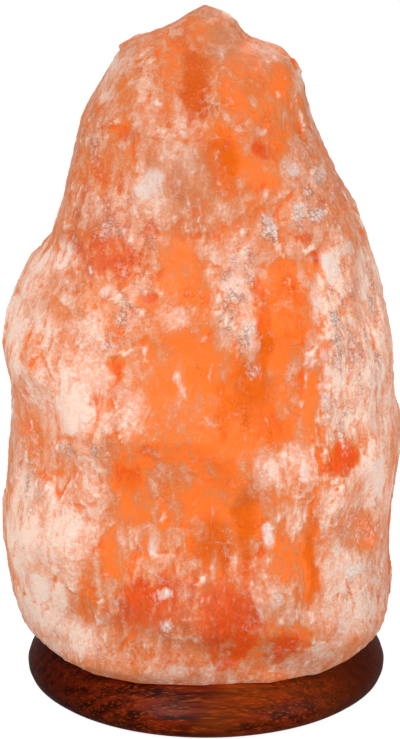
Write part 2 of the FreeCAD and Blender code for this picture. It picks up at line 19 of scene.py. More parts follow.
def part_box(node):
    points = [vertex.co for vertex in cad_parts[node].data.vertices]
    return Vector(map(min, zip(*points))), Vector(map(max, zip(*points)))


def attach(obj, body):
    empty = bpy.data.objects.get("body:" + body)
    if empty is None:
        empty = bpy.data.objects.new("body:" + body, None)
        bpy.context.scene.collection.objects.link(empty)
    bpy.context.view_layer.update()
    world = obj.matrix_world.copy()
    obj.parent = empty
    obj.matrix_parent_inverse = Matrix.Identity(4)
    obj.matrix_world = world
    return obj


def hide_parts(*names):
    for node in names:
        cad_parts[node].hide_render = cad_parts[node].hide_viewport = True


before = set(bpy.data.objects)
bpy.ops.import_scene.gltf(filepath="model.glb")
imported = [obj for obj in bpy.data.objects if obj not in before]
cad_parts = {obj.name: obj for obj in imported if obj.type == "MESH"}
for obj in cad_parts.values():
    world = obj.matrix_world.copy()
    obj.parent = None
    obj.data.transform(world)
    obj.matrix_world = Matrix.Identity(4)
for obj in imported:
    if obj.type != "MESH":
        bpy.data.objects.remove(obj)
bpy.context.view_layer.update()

bl_info = {
    "name": "Salt Crystal Lamp",
    "version": (1, 0, 0),
    "blender": (4, 5, 0),
    "location": "View3D > Sidebar > Salt Lamp",
    "description": "Dresses a salt crystal lamp: hewn rock salt on a turned base, with its bulb and lampholder",
    "category": "Add Mesh",
}

MM = 0.001

# ------------------------------------------------------------------ the camera's place, which the front follows
VIEW_TARGET = (-0.0022, 0.0, 0.11636)
VIEW_DISTANCE = 1.2
VIEW_ELEVATION = math.radians(18.5)
VIEW_LENS = 164.27  # mm, on a 36 mm sensor

# ------------------------------------------------------- the crystal's front, in the plane the camera faces
# Each patch: place across and up from the middle of the view, half width and half height (mm), strength, and its
# tilt (degrees) where it has one.
FRONT_PATCHES = {
    "orange": (
        (-8.9, -58.9, 18.5, 19.9, 0.45), (1.8, -27.2, 22.1, 10.7, 0.75), (22.1, 98.8, 11.4, 14.2, 0.8),
        (-10, 104.8, 5, 15.7, 0.6), (12.5, 100.2, 9.3, 9.3, 0.7), (-1.8, 110.1, 9.3, 21.4, 0.6),
        (14.2, 110.1, 10, 9.3, 0.5), (8.9, 74.6, 7.8, 14.2, 0.9, 8), (17.8, 67.4, 10.7, 8.5, 0.75),
        (30.2, 92.3, 6.4, 14.2, 0.6, -20), (19.6, 60.3, 10.7, 8.5, 0.4), (-7.1, 35.4, 8.5, 13.5, 0.85),
        (-3.6, -5.5, 17.1, 17.8, 0.9), (16, -10.9, 12.1, 19.2, 1), (29.2, 20.5, 10, 17.8, 1),
        (25.6, 5.2, 7.1, 7.1, 0.9), (35.6, 36.1, 7.1, 4.3, 0.7, -20), (39.1, -14.4, 3.2, 14.2, 0.9),
        (23.1, -21.5, 10.7, 8.5, 0.8), (-24.2, -42.9, 9.3, 15.7, 0.95), (5.3, -46.4, 14.9, 18.5, 0.8),
        (16, -55.3, 9.3, 14.2, 0.7), (28.5, -42.9, 6.4, 7.1, 0.6), (30.2, -67.8, 6.4, 10.7, 0.8),
        (39.1, -67.8, 3.2, 17.1, 0.8), (51.2, -30.8, 7.5, 5.3, 1, 35), (-50.9, -37.5, 3.2, 2.1, 0.8),
        (58.4, -57.1, 8.5, 10, 0.9), (51.6, -53.6, 3.6, 4.3, 0.5), (-31.3, -67.8, 4.3, 17.8, 0.5),
        (-40.6, -82, 4.3, 14.2, 0.4), (-17.8, -83.8, 12.1, 10, 0.55), (7.1, -85.6, 10.7, 14.2, 0.7),
        (32, -96.3, 8.5, 5.7, 0.8, 20), (14.2, -99.8, 10.7, 7.1, 0.6), (-17.8, 24.7, 5, 3.6, 0.7, 20),
        (-28.5, 39, 12.1, 7.1, 0.5), (-30.2, -0.2, 2.8, 8.5, 0.6), (-35.6, -12.6, 2.5, 8.5, 0.5, 10),
        (-24.9, 103, 5.7, 14.2, 0.25), (-24.9, 85.2, 4.3, 7.1, 0.5), (-37.4, 74.6, 5.7, 6.4, 0.3),
        (46.3, 63.9, 5, 14.2, 0.35, -25), (24.9, 78.1, 7.1, 7.1, 0.5), (-14.2, -25.1, 10.7, 10.7, 0.5),
        (1.8, 17.6, 4.3, 14.2, 0.5), (-39.1, 51.4, 8.5, 7.1, 0.35),
    ),
    "amber": (
        (50.9, -31.5, 6.8, 5, 1, 32), (22.1, 16.9, 2.5, 12.1, 1), (5.3, -62.5, 9.3, 10.7, 0.7),
        (-24.9, -39.3, 5.7, 7.1, 0.5), (-2.1, 101.2, 6, 16.4, 1), (7.8, 73.8, 6.8, 12.8, 1, 5),
        (14.9, 63.9, 6.4, 3.6, 0.5), (32, 21.2, 9.3, 16.4, 0.5), (23.1, 8.7, 2.8, 10.7, 0.8),
        (17.8, -9.1, 9.3, 14.2, 0.9), (8.9, -14.4, 5.7, 14.2, 0.6), (24.9, -21.5, 8.5, 7.1, 0.7),
        (16, -53.6, 5, 12.1, 0.8), (17.8, -67.8, 5.7, 10.7, 0.6), (39.9, -67.8, 2.1, 17.8, 0.8),
        (-40.6, -82, 3.6, 12.8, 0.4), (-35.6, 71, 5, 5.7, 0.4), (19.6, 101.2, 5.7, 8.5, 0.4),
        (5.3, -82, 2.8, 10.7, 0.4), (7.1, -35.8, 7.1, 10.7, 0.4),
    ),
    "red": (
        (-35.6, 55, 14.2, 17.8, 0.45, 10), (-24.9, 31.9, 10.7, 8.5, 0.4), (46.3, 63.9, 5.7, 14.2, 0.4, -25),
        (-3.6, -83.8, 27, 17.8, 0.55), (51.6, 10.5, 8.5, 14.2, 0.3), (22.4, 77.4, 5.7, 3.6, 0.8, -20),
        (-25.6, 83.5, 3.6, 4.3, 0.6), (-33.8, 41.8, 16.4, 9.3, 0.8), (-42.7, 47.9, 7.1, 5.7, 0.45),
        (-29.2, 33.6, 4.3, 2.8, 0.6), (42, 40, 3.2, 3.2, 0.9), (37.4, 46.1, 3.6, 2.8, 0.5),
        (-17.8, 25.8, 3.6, 2.5, 0.7, 20), (-30.2, -0.9, 2.1, 7.1, 0.6), (-36.3, -12.6, 1.8, 7.1, 0.5),
        (56.9, 6.2, 2.1, 4.3, 0.8), (42.7, -35.8, 1.4, 10.7, 0.5), (50.9, -31.5, 7.1, 5, 0.9, 32),
        (-50.9, -37.5, 2.5, 1.4, 0.6), (-26.7, -35.8, 6.4, 5, 0.45), (-18.5, -83.8, 12.8, 12.1, 0.95),
        (14.2, -96.3, 6.4, 8.5, 0.9), (5.3, -101.6, 3.6, 7.8, 0.6), (29.9, -99.1, 7.8, 5.7, 0.9, 30),
        (10, -89.1, 12.8, 16.4, 1), (28.8, -60.7, 1.4, 2.1, 0.6), (-2.5, 101.2, 5, 14.2, 0.5),
        (-7.1, 117.3, 5, 7.1, 0.3), (-7.8, -95.6, 7.8, 12.1, 0.45), (7.8, -98, 5, 12.1, 0.7),
        (-37.4, 63.9, 5.7, 14.2, 0.3, 20), (-17.8, -30.4, 5, 3.6, 0.35), (49.8, 55, 2.8, 10.7, 0.4, -20),
    ),
    "white": (
        (43.4, 70.3, 2.5, 4.3, 0.7, -30), (47.3, 61.7, 1.8, 3.6, 0.6, -20), (56.9, 38.3, 2.8, 3.6, 0.6),
        (47.7, 16.9, 2.1, 5, 0.6), (54.1, 11.2, 2.5, 3.2, 0.5), (61.2, -18, 2.8, 5.7, 0.5),
        (56.9, -35.8, 3.2, 3.6, 0.5), (65.5, -67.8, 2.1, 7.1, 0.5), (48, -60.7, 2.8, 3.6, 0.5),
        (38.4, 8.7, 1.8, 5.7, 0.5), (-36.3, 78.1, 1.8, 2.8, 0.4), (-29.2, 72.8, 2.1, 1.8, 0.4),
        (-38.4, 36.1, 1.8, 1.4, 0.6), (-32.7, 34, 2.1, 1.4, 0.6), (11.4, 117.3, 2.8, 1.8, 0.3),
        # The first white patch below, at (-17.8, 66), is a painted highlight.
        (-17.8, 66, 6, 5.3, 1), (24.9, 51.4, 3.2, 5, 0.8, 10), (13.2, 37.2, 2.8, 5, 0.6, 20),
        (11.4, 30.1, 3.6, 4.3, 0.8), (16.4, 14.1, 2.8, 5.7, 0.7), (17.8, 3.4, 2.1, 5, 0.7, -10),
        (33.1, 72.8, 3.6, 2.1, 0.8, -30), (39.9, 68.1, 2.1, 1.8, 0.7), (35.6, 56.8, 2.8, 4.3, 0.9),
        (42, 55.3, 3.6, 2.5, 0.9), (46.3, 37.2, 3.2, 7.8, 0.9, 20), (42, 24.7, 3.6, 10.7, 0.6),
        (51.6, 42.5, 5.7, 2.8, 0.6), (52.7, 30.1, 3.6, 5, 0.5), (43.4, -3.7, 1.4, 21.4, 0.6),
        (51.6, 3.4, 3.6, 5, 0.4), (-64.8, 14.1, 3.6, 5, 0.5), (-33.8, 29, 2.8, 2.5, 0.7),
        (-21.4, 30.1, 2.5, 3.6, 0.6, 20), (-44.1, -10.9, 9.3, 15.7, 0.35), (-39.1, -3.7, 5, 5.7, 0.5),
        (-7.8, 19.4, 3.6, 3.2, 0.5), (-7.1, -4.4, 1.8, 7.1, 0.6), (-23.1, -14.4, 3.6, 4.3, 0.45),
        (30.2, -30.4, 2.1, 5, 0.5), (37.4, -35.8, 2.1, 5, 0.7), (34.5, -46.4, 1.4, 8.5, 0.4),
        (24.9, -58.9, 2.5, 5, 0.7), (22.1, -46.4, 1.4, 7.1, 0.4, 10), (63.3, -39.3, 2.1, 7.1, 0.7),
        (55.9, -46.4, 2.8, 4.3, 0.5), (53.4, -72.1, 5, 2.8, 0.8), (61.2, -74.9, 2.8, 2.8, 0.7),
        (-14.9, -53.6, 3.2, 1.4, 0.6, 20), (-16, -62.5, 2.5, 5.7, 0.6), (-17.1, -67.1, 4.3, 2.1, 0.3),
        (-13.5, -79.9, 3.2, 2.1, 0.9), (-33.8, -89.1, 2.1, 1.8, 0.7), (-12.5, -90.9, 3.6, 2.5, 0.5, 20),
        (-56.9, -78.5, 3.6, 5, 0.6), (-7.1, -106.9, 5, 1.8, 0.6), (23.1, -89.1, 1.8, 5, 0.4, 10),
        (25.6, -82, 5, 3.6, 0.5), (-23.8, 90.6, 1.8, 1.8, 0.6), (10.7, 88.1, 4.3, 1.4, 0.4, -10),
        (20.6, 84.2, 2.1, 1.8, 0.6), (28.1, 98, 1.4, 2.1, 0.7), (34.2, 97.7, 1.4, 5.7, 0.6, -10),
        (-5.7, 83.5, 1.8, 1.8, 0.6), (-60.5, -67.8, 5, 7.1, 0.45), (-49.8, -9.1, 2.8, 8.5, 0.35),
        (49.8, -21.5, 1.4, 10.7, 0.4),
    ),
    "cream": (
        (-49.8, -0.2, 17.8, 21.4, 0.45), (-44.5, -10.9, 12.8, 19.2, 0.9), (-53.4, 38.3, 12.1, 5.7, 0.9, 15),
        (-60.5, 30.1, 7.1, 7.1, 0.7), (-65.8, 14.1, 5.7, 17.8, 0.9), (-56.9, 6.9, 10, 19.2, 0.6),
        (-40.9, 14.1, 9.3, 7.1, 0.5), (-42.7, -12.6, 10, 13.5, 1), (-64.1, -25.1, 4.3, 10.7, 0.4),
        (-62.3, -57.1, 7.8, 21.4, 1), (-49.8, -60.7, 10.7, 24.9, 0.7), (-38.4, -46.4, 4.3, 21.4, 0.5),
        (-56.9, -82, 10, 14.2, 1), (-44.5, -96.3, 11.4, 7.8, 0.9, -15), (-32.7, 103, 5, 10.7, 0.7, -10),
        (-19.6, 104.8, 2.1, 14.2, 0.35), (-40.9, 88.8, 3.6, 8.5, 0.3), (-1.8, 85.2, 8.5, 5, 0.3),
        # The first cream patch below, at (-17.8, 66.4), is painted haze round that highlight.
        (-17.8, 66.4, 9.3, 8.5, 0.5), (-14.2, 58.5, 7.1, 5, 0.5), (35.6, 103, 2.8, 8.5, 0.6, -10),
        (49.8, 42.5, 5, 8.5, 0.5), (46.3, 24.7, 6.4, 17.8, 0.65), (53.4, 35.4, 7.1, 5.7, 0.5),
        (48, -3.7, 5, 21.4, 0.6), (60.5, 6.9, 6.4, 24.9, 0.75), (49.8, -53.6, 8.5, 21.4, 0.4),
        (54.1, -10.9, 10.7, 15.7, 0.85), (62.3, -39.3, 7.1, 21.4, 0.8), (53.4, -42.9, 5.7, 10.7, 0.5),
        (49.8, -73.1, 10.7, 12.1, 0.8), (53.4, -86.3, 14.2, 10.7, 0.8), (61.2, 24.7, 5.7, 21.4, 0.7),
        (38.4, -35.8, 3.2, 10.7, 0.5), (30.2, -36.5, 8.5, 9.3, 0.55), (33.8, -53.6, 3.6, 17.8, 0.4),
        (0, -107.7, 21.4, 2.1, 0.3), (-39.1, -98, 8.5, 3.6, 0.5, -25), (46.3, -98, 9.3, 4.3, 0.4, 15),
        (-7.1, -5.5, 3.2, 7.8, 0.5), (-8.9, 17.6, 5, 5, 0.5), (-21.4, 28.3, 5, 5, 0.4),
        (14.2, 24.7, 5.7, 14.2, 0.5, 10), (-24.9, -15.1, 6.4, 12.8, 0.6), (-14.2, -64.2, 5.7, 7.1, 0.2),
        (26.7, -83.8, 7.1, 5.7, 0.7), (-42.7, 24.7, 14.2, 8.5, 0.3), (-49.8, -28.6, 14.2, 7.1, 0.3),
        (60.5, -67.8, 4.3, 21.4, 0.5), (66.9, -18, 2.8, 28.5, 0.6), (32, 60.3, 7.1, 10.7, 0.25),
        (5, 127.2, 5.7, 2.8, 0.3),
    ),
    "crust": (
        (50.5, -9.1, 7.8, 21.4, 0.35), (55.5, -76.7, 10, 9.3, 0.3), (42.7, 60.3, 9.3, 14.2, 0.5, -20),
        (24.2, 50.4, 4.3, 6.4, 1, 10), (16, 38.3, 4.3, 4.3, 0.8, 30), (12.1, 29.7, 5.7, 7.8, 0.8),
        (10, 19.4, 4.3, 7.8, 0.7), (16.4, 10.5, 3.6, 6.4, 1), (18.5, 1.2, 2.8, 5, 0.9), (39.1, 56, 5.7, 4.3, 1),
        (35.6, 51.4, 5, 2.8, 0.6), (-21.4, 30.1, 4.3, 3.6, 0.8, 30), (-26.3, 21.2, 4.3, 6.4, 0.8, 20),
        (-31.3, 10.5, 2.8, 5.7, 0.5), (55.2, 24.7, 6.4, 14.2, 0.6), (61.2, 24.7, 2.8, 10.7, 0.6),
        (48, 14.1, 3.6, 17.8, 0.6), (46.3, -14.4, 3.6, 17.8, 0.6), (58.7, -0.2, 7.1, 10.7, 0.6),
        (-44.5, -27.9, 10.7, 3.6, 0.6), (-32, 38.3, 12.1, 7.1, 0.4), (-37.4, 81.7, 5, 10.7, 0.4),
        (57.7, -55.3, 9.3, 9.3, 0.7), (56.9, 24.7, 10.7, 21.4, 0.5), (-28.5, 49.6, 21.4, 14.2, 0.35),
        (42.7, 67.4, 3.6, 10.7, 0.5, -20), (-64.1, 40.7, 5, 2.8, 0.4, -30), (-23.1, 47.9, 4.3, 3.6, 0.5, 20),
        (-60.5, -39.3, 5.7, 14.2, 0.35), (-16.4, -82, 5.7, 3.6, 0.4), (-10.7, -92.7, 5.7, 4.3, 0.4),
    ),
    # Painted sheen: the smooth cleaved faces take the sheen colour in place of the light they reflect.
    "sheen": (
        (-10.7, -90.9, 21.4, 10.7, 0.4), (-3.6, 110.1, 21.4, 14.2, 0.25), (19.6, 106.6, 10.7, 10.7, 0.45),
        (-35.6, 49.6, 14.2, 14.2, 0.35), (-24.9, 24.7, 10.7, 14.2, 0.3), (8.9, -82, 21.4, 10.7, 0.3),
        (-4.3, 63.2, 14.2, 17.8, 0.55, -5), (-10, 72.8, 9.3, 7.1, 0.5), (-17.8, 71, 7.1, 7.8, 0.5),
        (-12.5, 78.1, 8.5, 5, 0.3), (16, 53.2, 9.3, 5, 0.5), (8.2, 116.5, 7.8, 9.3, 0.75),
        (2.1, 128.3, 7.8, 4.3, 1), (26.7, -83.8, 6.4, 5.7, 0.7), (-3.6, -107.7, 7.1, 2.1, 0.5),
        (-49.8, 17.6, 10.7, 10.7, 0.3), (-31.3, 100.2, 4.3, 7.1, 0.4), (53.4, -89.1, 10.7, 7.1, 0.3),
        (-16, 65.7, 7.1, 5.7, 0.5),
    ),
    "streak": (
        (48, 14.1, 7.1, 35.6, 0.9), (44.5, -18, 5, 24.9, 0.9), (56.9, -3.7, 10.7, 42.7, 0.5),
        (35.6, -60.7, 10.7, 24.9, 0.6), (0, -82, 39.1, 17.8, 0.4), (0, 103, 14.2, 21.4, 0.35),
        (-12.5, -60.7, 21.4, 10.7, 0.4), (-3.6, -10.9, 14.2, 28.5, 0.25),
    ),
}
# Each ledge: how deep it is cut, how wide it is (mm), and the points that it runs through, in the same plane.
LEDGES = (
    (1, 3, ((-18.5, 49.6), (-12.1, 47.5), (1.4, 46.4), (10.7, 51.1), (22.1, 55.3))),
    (0.5, 2, ((-14.9, 113.3), (-13.2, 101.2), (-10.0, 87.4), (-3.6, 78.1))),
    (0.4, 1.4, ((-35.6, -57.5), (-24.9, -55.0), (-12.5, -54.3), (0.0, -56.4), (17.8, -57.1))),
    (0.9, 1.8, ((42.0, 44.0), (43.4, 14.1), (42.7, -10.9), (42.3, -35.8), (39.9, -53.6))),
    (0.6, 2, ((18.9, -41.5), (23.1, -52.5), (21.4, -63.2), (16.0, -68.5))),
    (0.9, 1.8, ((-32.0, 6.2), (-31.0, -5.2), (-34.2, -12.6), (-38.4, -21.5), (-40.6, -26.5), (-49.8, -24.4))),
    (0.7, 2, ((-14.2, 34.7), (-23.1, 24.7), (-29.2, 12.3), (-32.4, 4.1))),
    (0.6, 1.8, ((-52.7, -25.1), (-52.3, -10.9), (-49.1, -0.2), (-44.5, 6.9))),
    (0.6, 2.2, ((-33.1, -32.9), (-33.5, -46.4), (-34.2, -60.7), (-37.0, -78.5))),
    (0.6, 2, ((29.2, -60.7), (32.7, -46.4), (31.3, -30.4), (27.0, -18.0))),
    (0.8, 2, ((17.8, -2.3), (21.0, 8.7), (18.5, 24.7), (22.1, 35.4))),
    (0.6, 2, ((-65.5, 27.6), (-56.9, 29.7), (-47.7, 28.3), (-37.0, 24.7))),
)
TONES = ("orange", "amber", "red", "white", "cream", "crust", "sheen", "streak")
# The crystal's mesh carries its tones in two colour attributes of four channels each.
TONE_LAYERS = (("salt_light", TONES[:4]), ("salt_skin", TONES[4:]))

# Settings that many shader nodes share.
SMOOTH = {"interpolation_type": "SMOOTHSTEP"}
MIXED = {"data_type": "RGBA"}
PLUS, LESS, TIMES, TIMES_PLUS = ({"operation": name} for name in ("ADD", "SUBTRACT", "MULTIPLY", "MULTIPLY_ADD"))


def linear(hex_colour):
    """An sRGB hex colour as linear red, green and blue."""
    parts = [int(hex_colour[k : k + 2], 16) / 255 for k in (1, 3, 5)]
    return [c / 12.92 if c <= 0.04045 else ((c + 0.055) / 1.055) ** 2.4 for c in parts]


def rgba(colour):
    return (colour[0], colour[1], colour[2], 1.0)


def per_mm(size):
    """A texture scale that gives features of this size in millimetres."""
    return 1000.0 / size


def smooth_step(low, high, value):
    t = np.clip((value - low) / (high - low), 0, 1)
    return t * t * (3 - 2 * t)


# ------------------------------------------------------------------ settings
def colour_setting(name, description, hex_colour):
    return FloatVectorProperty(
        name=name, description=description, default=linear(hex_colour), subtype="COLOR", size=3, min=0, max=1
    )


def length_setting(name, description, millimetres):
    return FloatProperty(name=name, description=description, default=millimetres * MM, unit="LENGTH", min=0)


class CrystalSettings(bpy.types.PropertyGroup):
    grain: length_setting("Grain", "Width of the mesh cells that carry the hewn relief", 1.15)
    softening: IntProperty(name="Softening", description="Passes that wear down the flat facets", default=8, min=0)
    lump_depth: length_setting("Lumps", "Depth of the broad lumps in the hewn faces", 0.3)
    facet_depth: length_setting("Facets", "Depth of the small broken facets", 0.75)
    grit_depth: length_setting("Grit", "Depth of the fine roughness", 0.28)
    crust_height: length_setting("Crust", "How far the pitted crust stands proud", 0.5)
    window_depth: length_setting("Windows", "How far the clear orange windows are sunk", 0.5)
    strike: length_setting("Strike", "How sharply an edge stands out where it is fully crushed", 0.27)
    seed: IntProperty(name="Seed", description="Seed of the unseen sides' patches", default=11)
    salmon: colour_setting("Salmon", "Body of the salt", "#EA8449")
    rose: colour_setting("Rose", "Paler parts of the body", "#F0A988")
    orange: colour_setting("Orange", "Clear salt with the light behind it", "#F57429")
    amber: colour_setting("Amber", "Clearest salt", "#E06000")
    red: colour_setting("Red", "Iron-stained salt", "#E04C0A")
    white: colour_setting("White", "Crushed, frosted salt", "#EFDAD0")
    cream: colour_setting("Cream", "Thick cloudy salt", "#F5D3BF")
    # The sheen colour paints the sheen of smooth cleaved faces, and is also the tan of the crust's grains.
    sheen: colour_setting("Sheen", "Smooth cleaved faces", "#D08258")
    pit: colour_setting("Pits", "Dirt in the seams of the crust", "#A0552E")


class WoodSettings(bpy.types.PropertyGroup):
    dark: colour_setting("Dark", "Stain in the pores and late wood", "#380500")
    middle: colour_setting("Middle", "Body of the stained wood", "#962C06")
    light: colour_setting("Light", "Early wood that takes less stain", "#CF5E18")
    ring_width: length_setting("Rings", "Width of a growth ring", 3.0)
    pore_width: length_setting("Pores", "Width of a pore", 0.28)
    edge_round: length_setting("Edges", "Rounding of the turned edges", 0.9)


class BulbSettings(bpy.types.PropertyGroup):
    thread_pitch: length_setting("Thread pitch", "Rise of one turn of the rolled thread", 2.82)
    thread_depth: length_setting("Thread depth", "Depth of the rolled thread", 0.55)
    coil_radius: length_setting("Coil radius", "Radius of the coiled filament", 0.27)
    wire_radius: length_setting("Wire radius", "Radius of the filament's wire", 0.06)
    glow: colour_setting("Glow", "Colour of the glowing filament", "#FFB45A")


class StageSettings(bpy.types.PropertyGroup):
    floor: colour_setting("Floor", "Colour of the studio floor", "#8C8C8C")
    key_power: FloatProperty(name="Key light", description="Power of the main light", default=9.6, unit="POWER")
    fill_power: FloatProperty(name="Fill light", description="Power of the side light", default=3.2, unit="POWER")
    sky: FloatProperty(name="Sky", description="Strength of the white surround", default=0.13, min=0)


class LampSettings(bpy.types.PropertyGroup):
    crystal: PointerProperty(type=CrystalSettings)
    wood: PointerProperty(type=WoodSettings)
    bulb: PointerProperty(type=BulbSettings)
    stage: PointerProperty(type=StageSettings)


# ------------------------------------------------------------------ meshes
def new_piece(name, bm, body, slot, material, *nodes):
    """Finishes a piece from a bmesh: it rides a body, takes a material and may stand for CAD nodes. Its slot is
    not used.
    """
    mesh = bpy.data.meshes.new(name)
    bm.to_mesh(mesh)
    bm.free()
    finish_piece(name, mesh, body, slot, material, *nodes)


def finish_piece(name, mesh, body, slot, material, *nodes):
    """The same from a mesh."""
    mesh.shade_smooth()
    mesh.materials.clear()
    mesh.materials.append(material)
    piece = bpy.data.objects.new(name, mesh)
    bpy.context.scene.collection.objects.link(piece)
    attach(piece, body)
    if nodes:
        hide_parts(*nodes)


def dress(material, *nodes):
    """Gives CAD nodes their finish."""
    for name in nodes:
        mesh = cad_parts[name].data
        mesh.materials.clear()
        mesh.materials.append(material)


def spun(profile, steps, edge_round=0.0, rounded=()):
    """A bmesh turned about Z from the corners of a closed profile (radius and height in millimetres).
    The edge rings at the corners numbered in rounded are rounded off."""
    bm = bmesh.new()
    corners = [bm.verts.new((radius * MM, 0, height * MM)) for radius, height in profile]
    outline = [bm.edges.new(pair) for pair in zip(corners, corners[1:] + corners[:1])]
    bmesh.ops.spin(
        bm, geom=corners + outline, cent=(0, 0, 0), axis=(0, 0, 1), dvec=(0, 0, 0), angle=2 * math.pi,
        steps=steps, use_merge=True, use_duplicate=False,
    )
    bmesh.ops.remove_doubles(bm, verts=bm.verts, dist=1e-6)
    bmesh.ops.dissolve_degenerate(bm, edges=bm.edges, dist=1e-7)
    if edge_round:
        rings = [profile[k] for k in rounded]
        edges = [e for e in bm.edges if any(all(on_ring(v.co, *ring) for v in e.verts) for ring in rings)]
        bmesh.ops.bevel(
            bm, geom=edges, offset=edge_round, offset_type="OFFSET", affect="EDGES", segments=4, profile=0.5,
            material=-1, clamp_overlap=True,
        )
    bmesh.ops.recalc_face_normals(bm, faces=bm.faces)
    return bm


def on_ring(place, radius, height):
    return abs(math.hypot(place.x, place.y) - radius * MM) < 1e-5 and abs(place.z - height * MM) < 1e-5


def roll_thread(bm, bottom, top, pitch, depth, inward_beyond=0.0):
    """Rolls a round thread into the wall between two heights: the wall is drawn in by up to the depth."""
    for vert in bm.verts:
        radius = math.hypot(vert.co.x, vert.co.y)
        if radius <= inward_beyond or not bottom < vert.co.z < top:
            continue
        fade = min(1.0, (vert.co.z - bottom) / pitch, (top - vert.co.z) / pitch)
        turn = math.atan2(vert.co.y, vert.co.x) - 2 * math.pi * vert.co.z / pitch
        scale = (radius - depth * fade * (0.5 - 0.5 * math.cos(turn))) / radius
        vert.co.x *= scale
        vert.co.y *= scale


def wall_rings(bottom, top, spacing):
    """Heights (mm) of the rings that a thread needs between two heights."""
    count = max(2, round((top - bottom) / spacing))
    return [bottom + (top - bottom) * k / count for k in range(count + 1)]


def with_modifiers_applied(mesh, *modifiers):
    """A new mesh: the given one after modifiers, each given as its type and its settings."""
    holder = bpy.data.objects.new("worked", mesh)
    bpy.context.scene.collection.objects.link(holder)
    for kind, settings in modifiers:
        modifier = holder.modifiers.new(kind.lower(), kind)
        for name, value in settings.items():
            setattr(modifier, name, value)
    evaluated = holder.evaluated_get(bpy.context.evaluated_depsgraph_get())
    result = bpy.data.meshes.new_from_object(evaluated)
    bpy.data.objects.remove(holder)
    return result


def cutter(bm):
    """An object to cut with, from a bmesh."""
    mesh = bpy.data.meshes.new("cutter")
    bm.to_mesh(mesh)
    bm.free()
    holder = bpy.data.objects.new("cutter", mesh)
    bpy.context.scene.collection.objects.link(holder)
    return holder


def post(radius, bottom, top, x, y, segments=32):
    """A bmesh of an upright post (mm), to cut with."""
    bm = bmesh.new()
    bmesh.ops.create_cone(
        bm, cap_ends=True, segments=segments, radius1=radius * MM, radius2=radius * MM, depth=(top - bottom) * MM
    )
    bmesh.ops.translate(bm, verts=bm.verts, vec=(x * MM, y * MM, (bottom + top) / 2 * MM))
    return bm


def around(count, radius, first_angle):
    """Evenly spaced places on a circle about the axis (mm)."""
    angles = [math.radians(first_angle + 360 * k / count) for k in range(count)]
    return [(radius * math.cos(a), radius * math.sin(a)) for a in angles]


# ------------------------------------------------------------------ materials
def add_node(material, kind, sockets=(), out=0, **settings):
    """Adds a shader node with its settings and gives its output of this number or name. Its sockets come in order
    or by name: each is given a value, or another node's output to link from."""
    tree = material.node_tree
    node = tree.nodes.new("ShaderNode" + kind)
    for name, value in settings.items():
        setattr(node, name, value)
    for name, value in (sockets if isinstance(sockets, dict) else dict(enumerate(sockets))).items():
        if isinstance(value, bpy.types.NodeSocket):
            tree.links.new(value, node.inputs[name])
        else:
            node.inputs[name].default_value = value
    return node.outputs[out] if node.outputs else None


def new_material(name):
    """An empty node material, and the place on the object to read patterns from."""
    material = bpy.data.materials.new(name)
    material.use_nodes = True
    material.node_tree.nodes.clear()
    return material, add_node(material, "TexCoord", out="Object")


def surface(material, colour, roughness, height, bump, **constants):
    """Ends a material and gives its shader: colour and roughness, as outputs or values, a height and the depth of
    its bump (mm), and constant shader values."""
    sockets = {"Base Color": colour, "Roughness": roughness}
    if height is not None:
        sockets["Normal"] = add_node(material, "Bump", {"Height": height, "Strength": 1.0, "Distance": bump * MM})
    shader = add_node(material, "BsdfPrincipled", sockets).node
    for name, value in constants.items():
        shader.inputs[name.replace("_", " ")].default_value = value
    add_node(material, "OutputMaterial", {"Surface": shader.outputs[0]})
    return shader


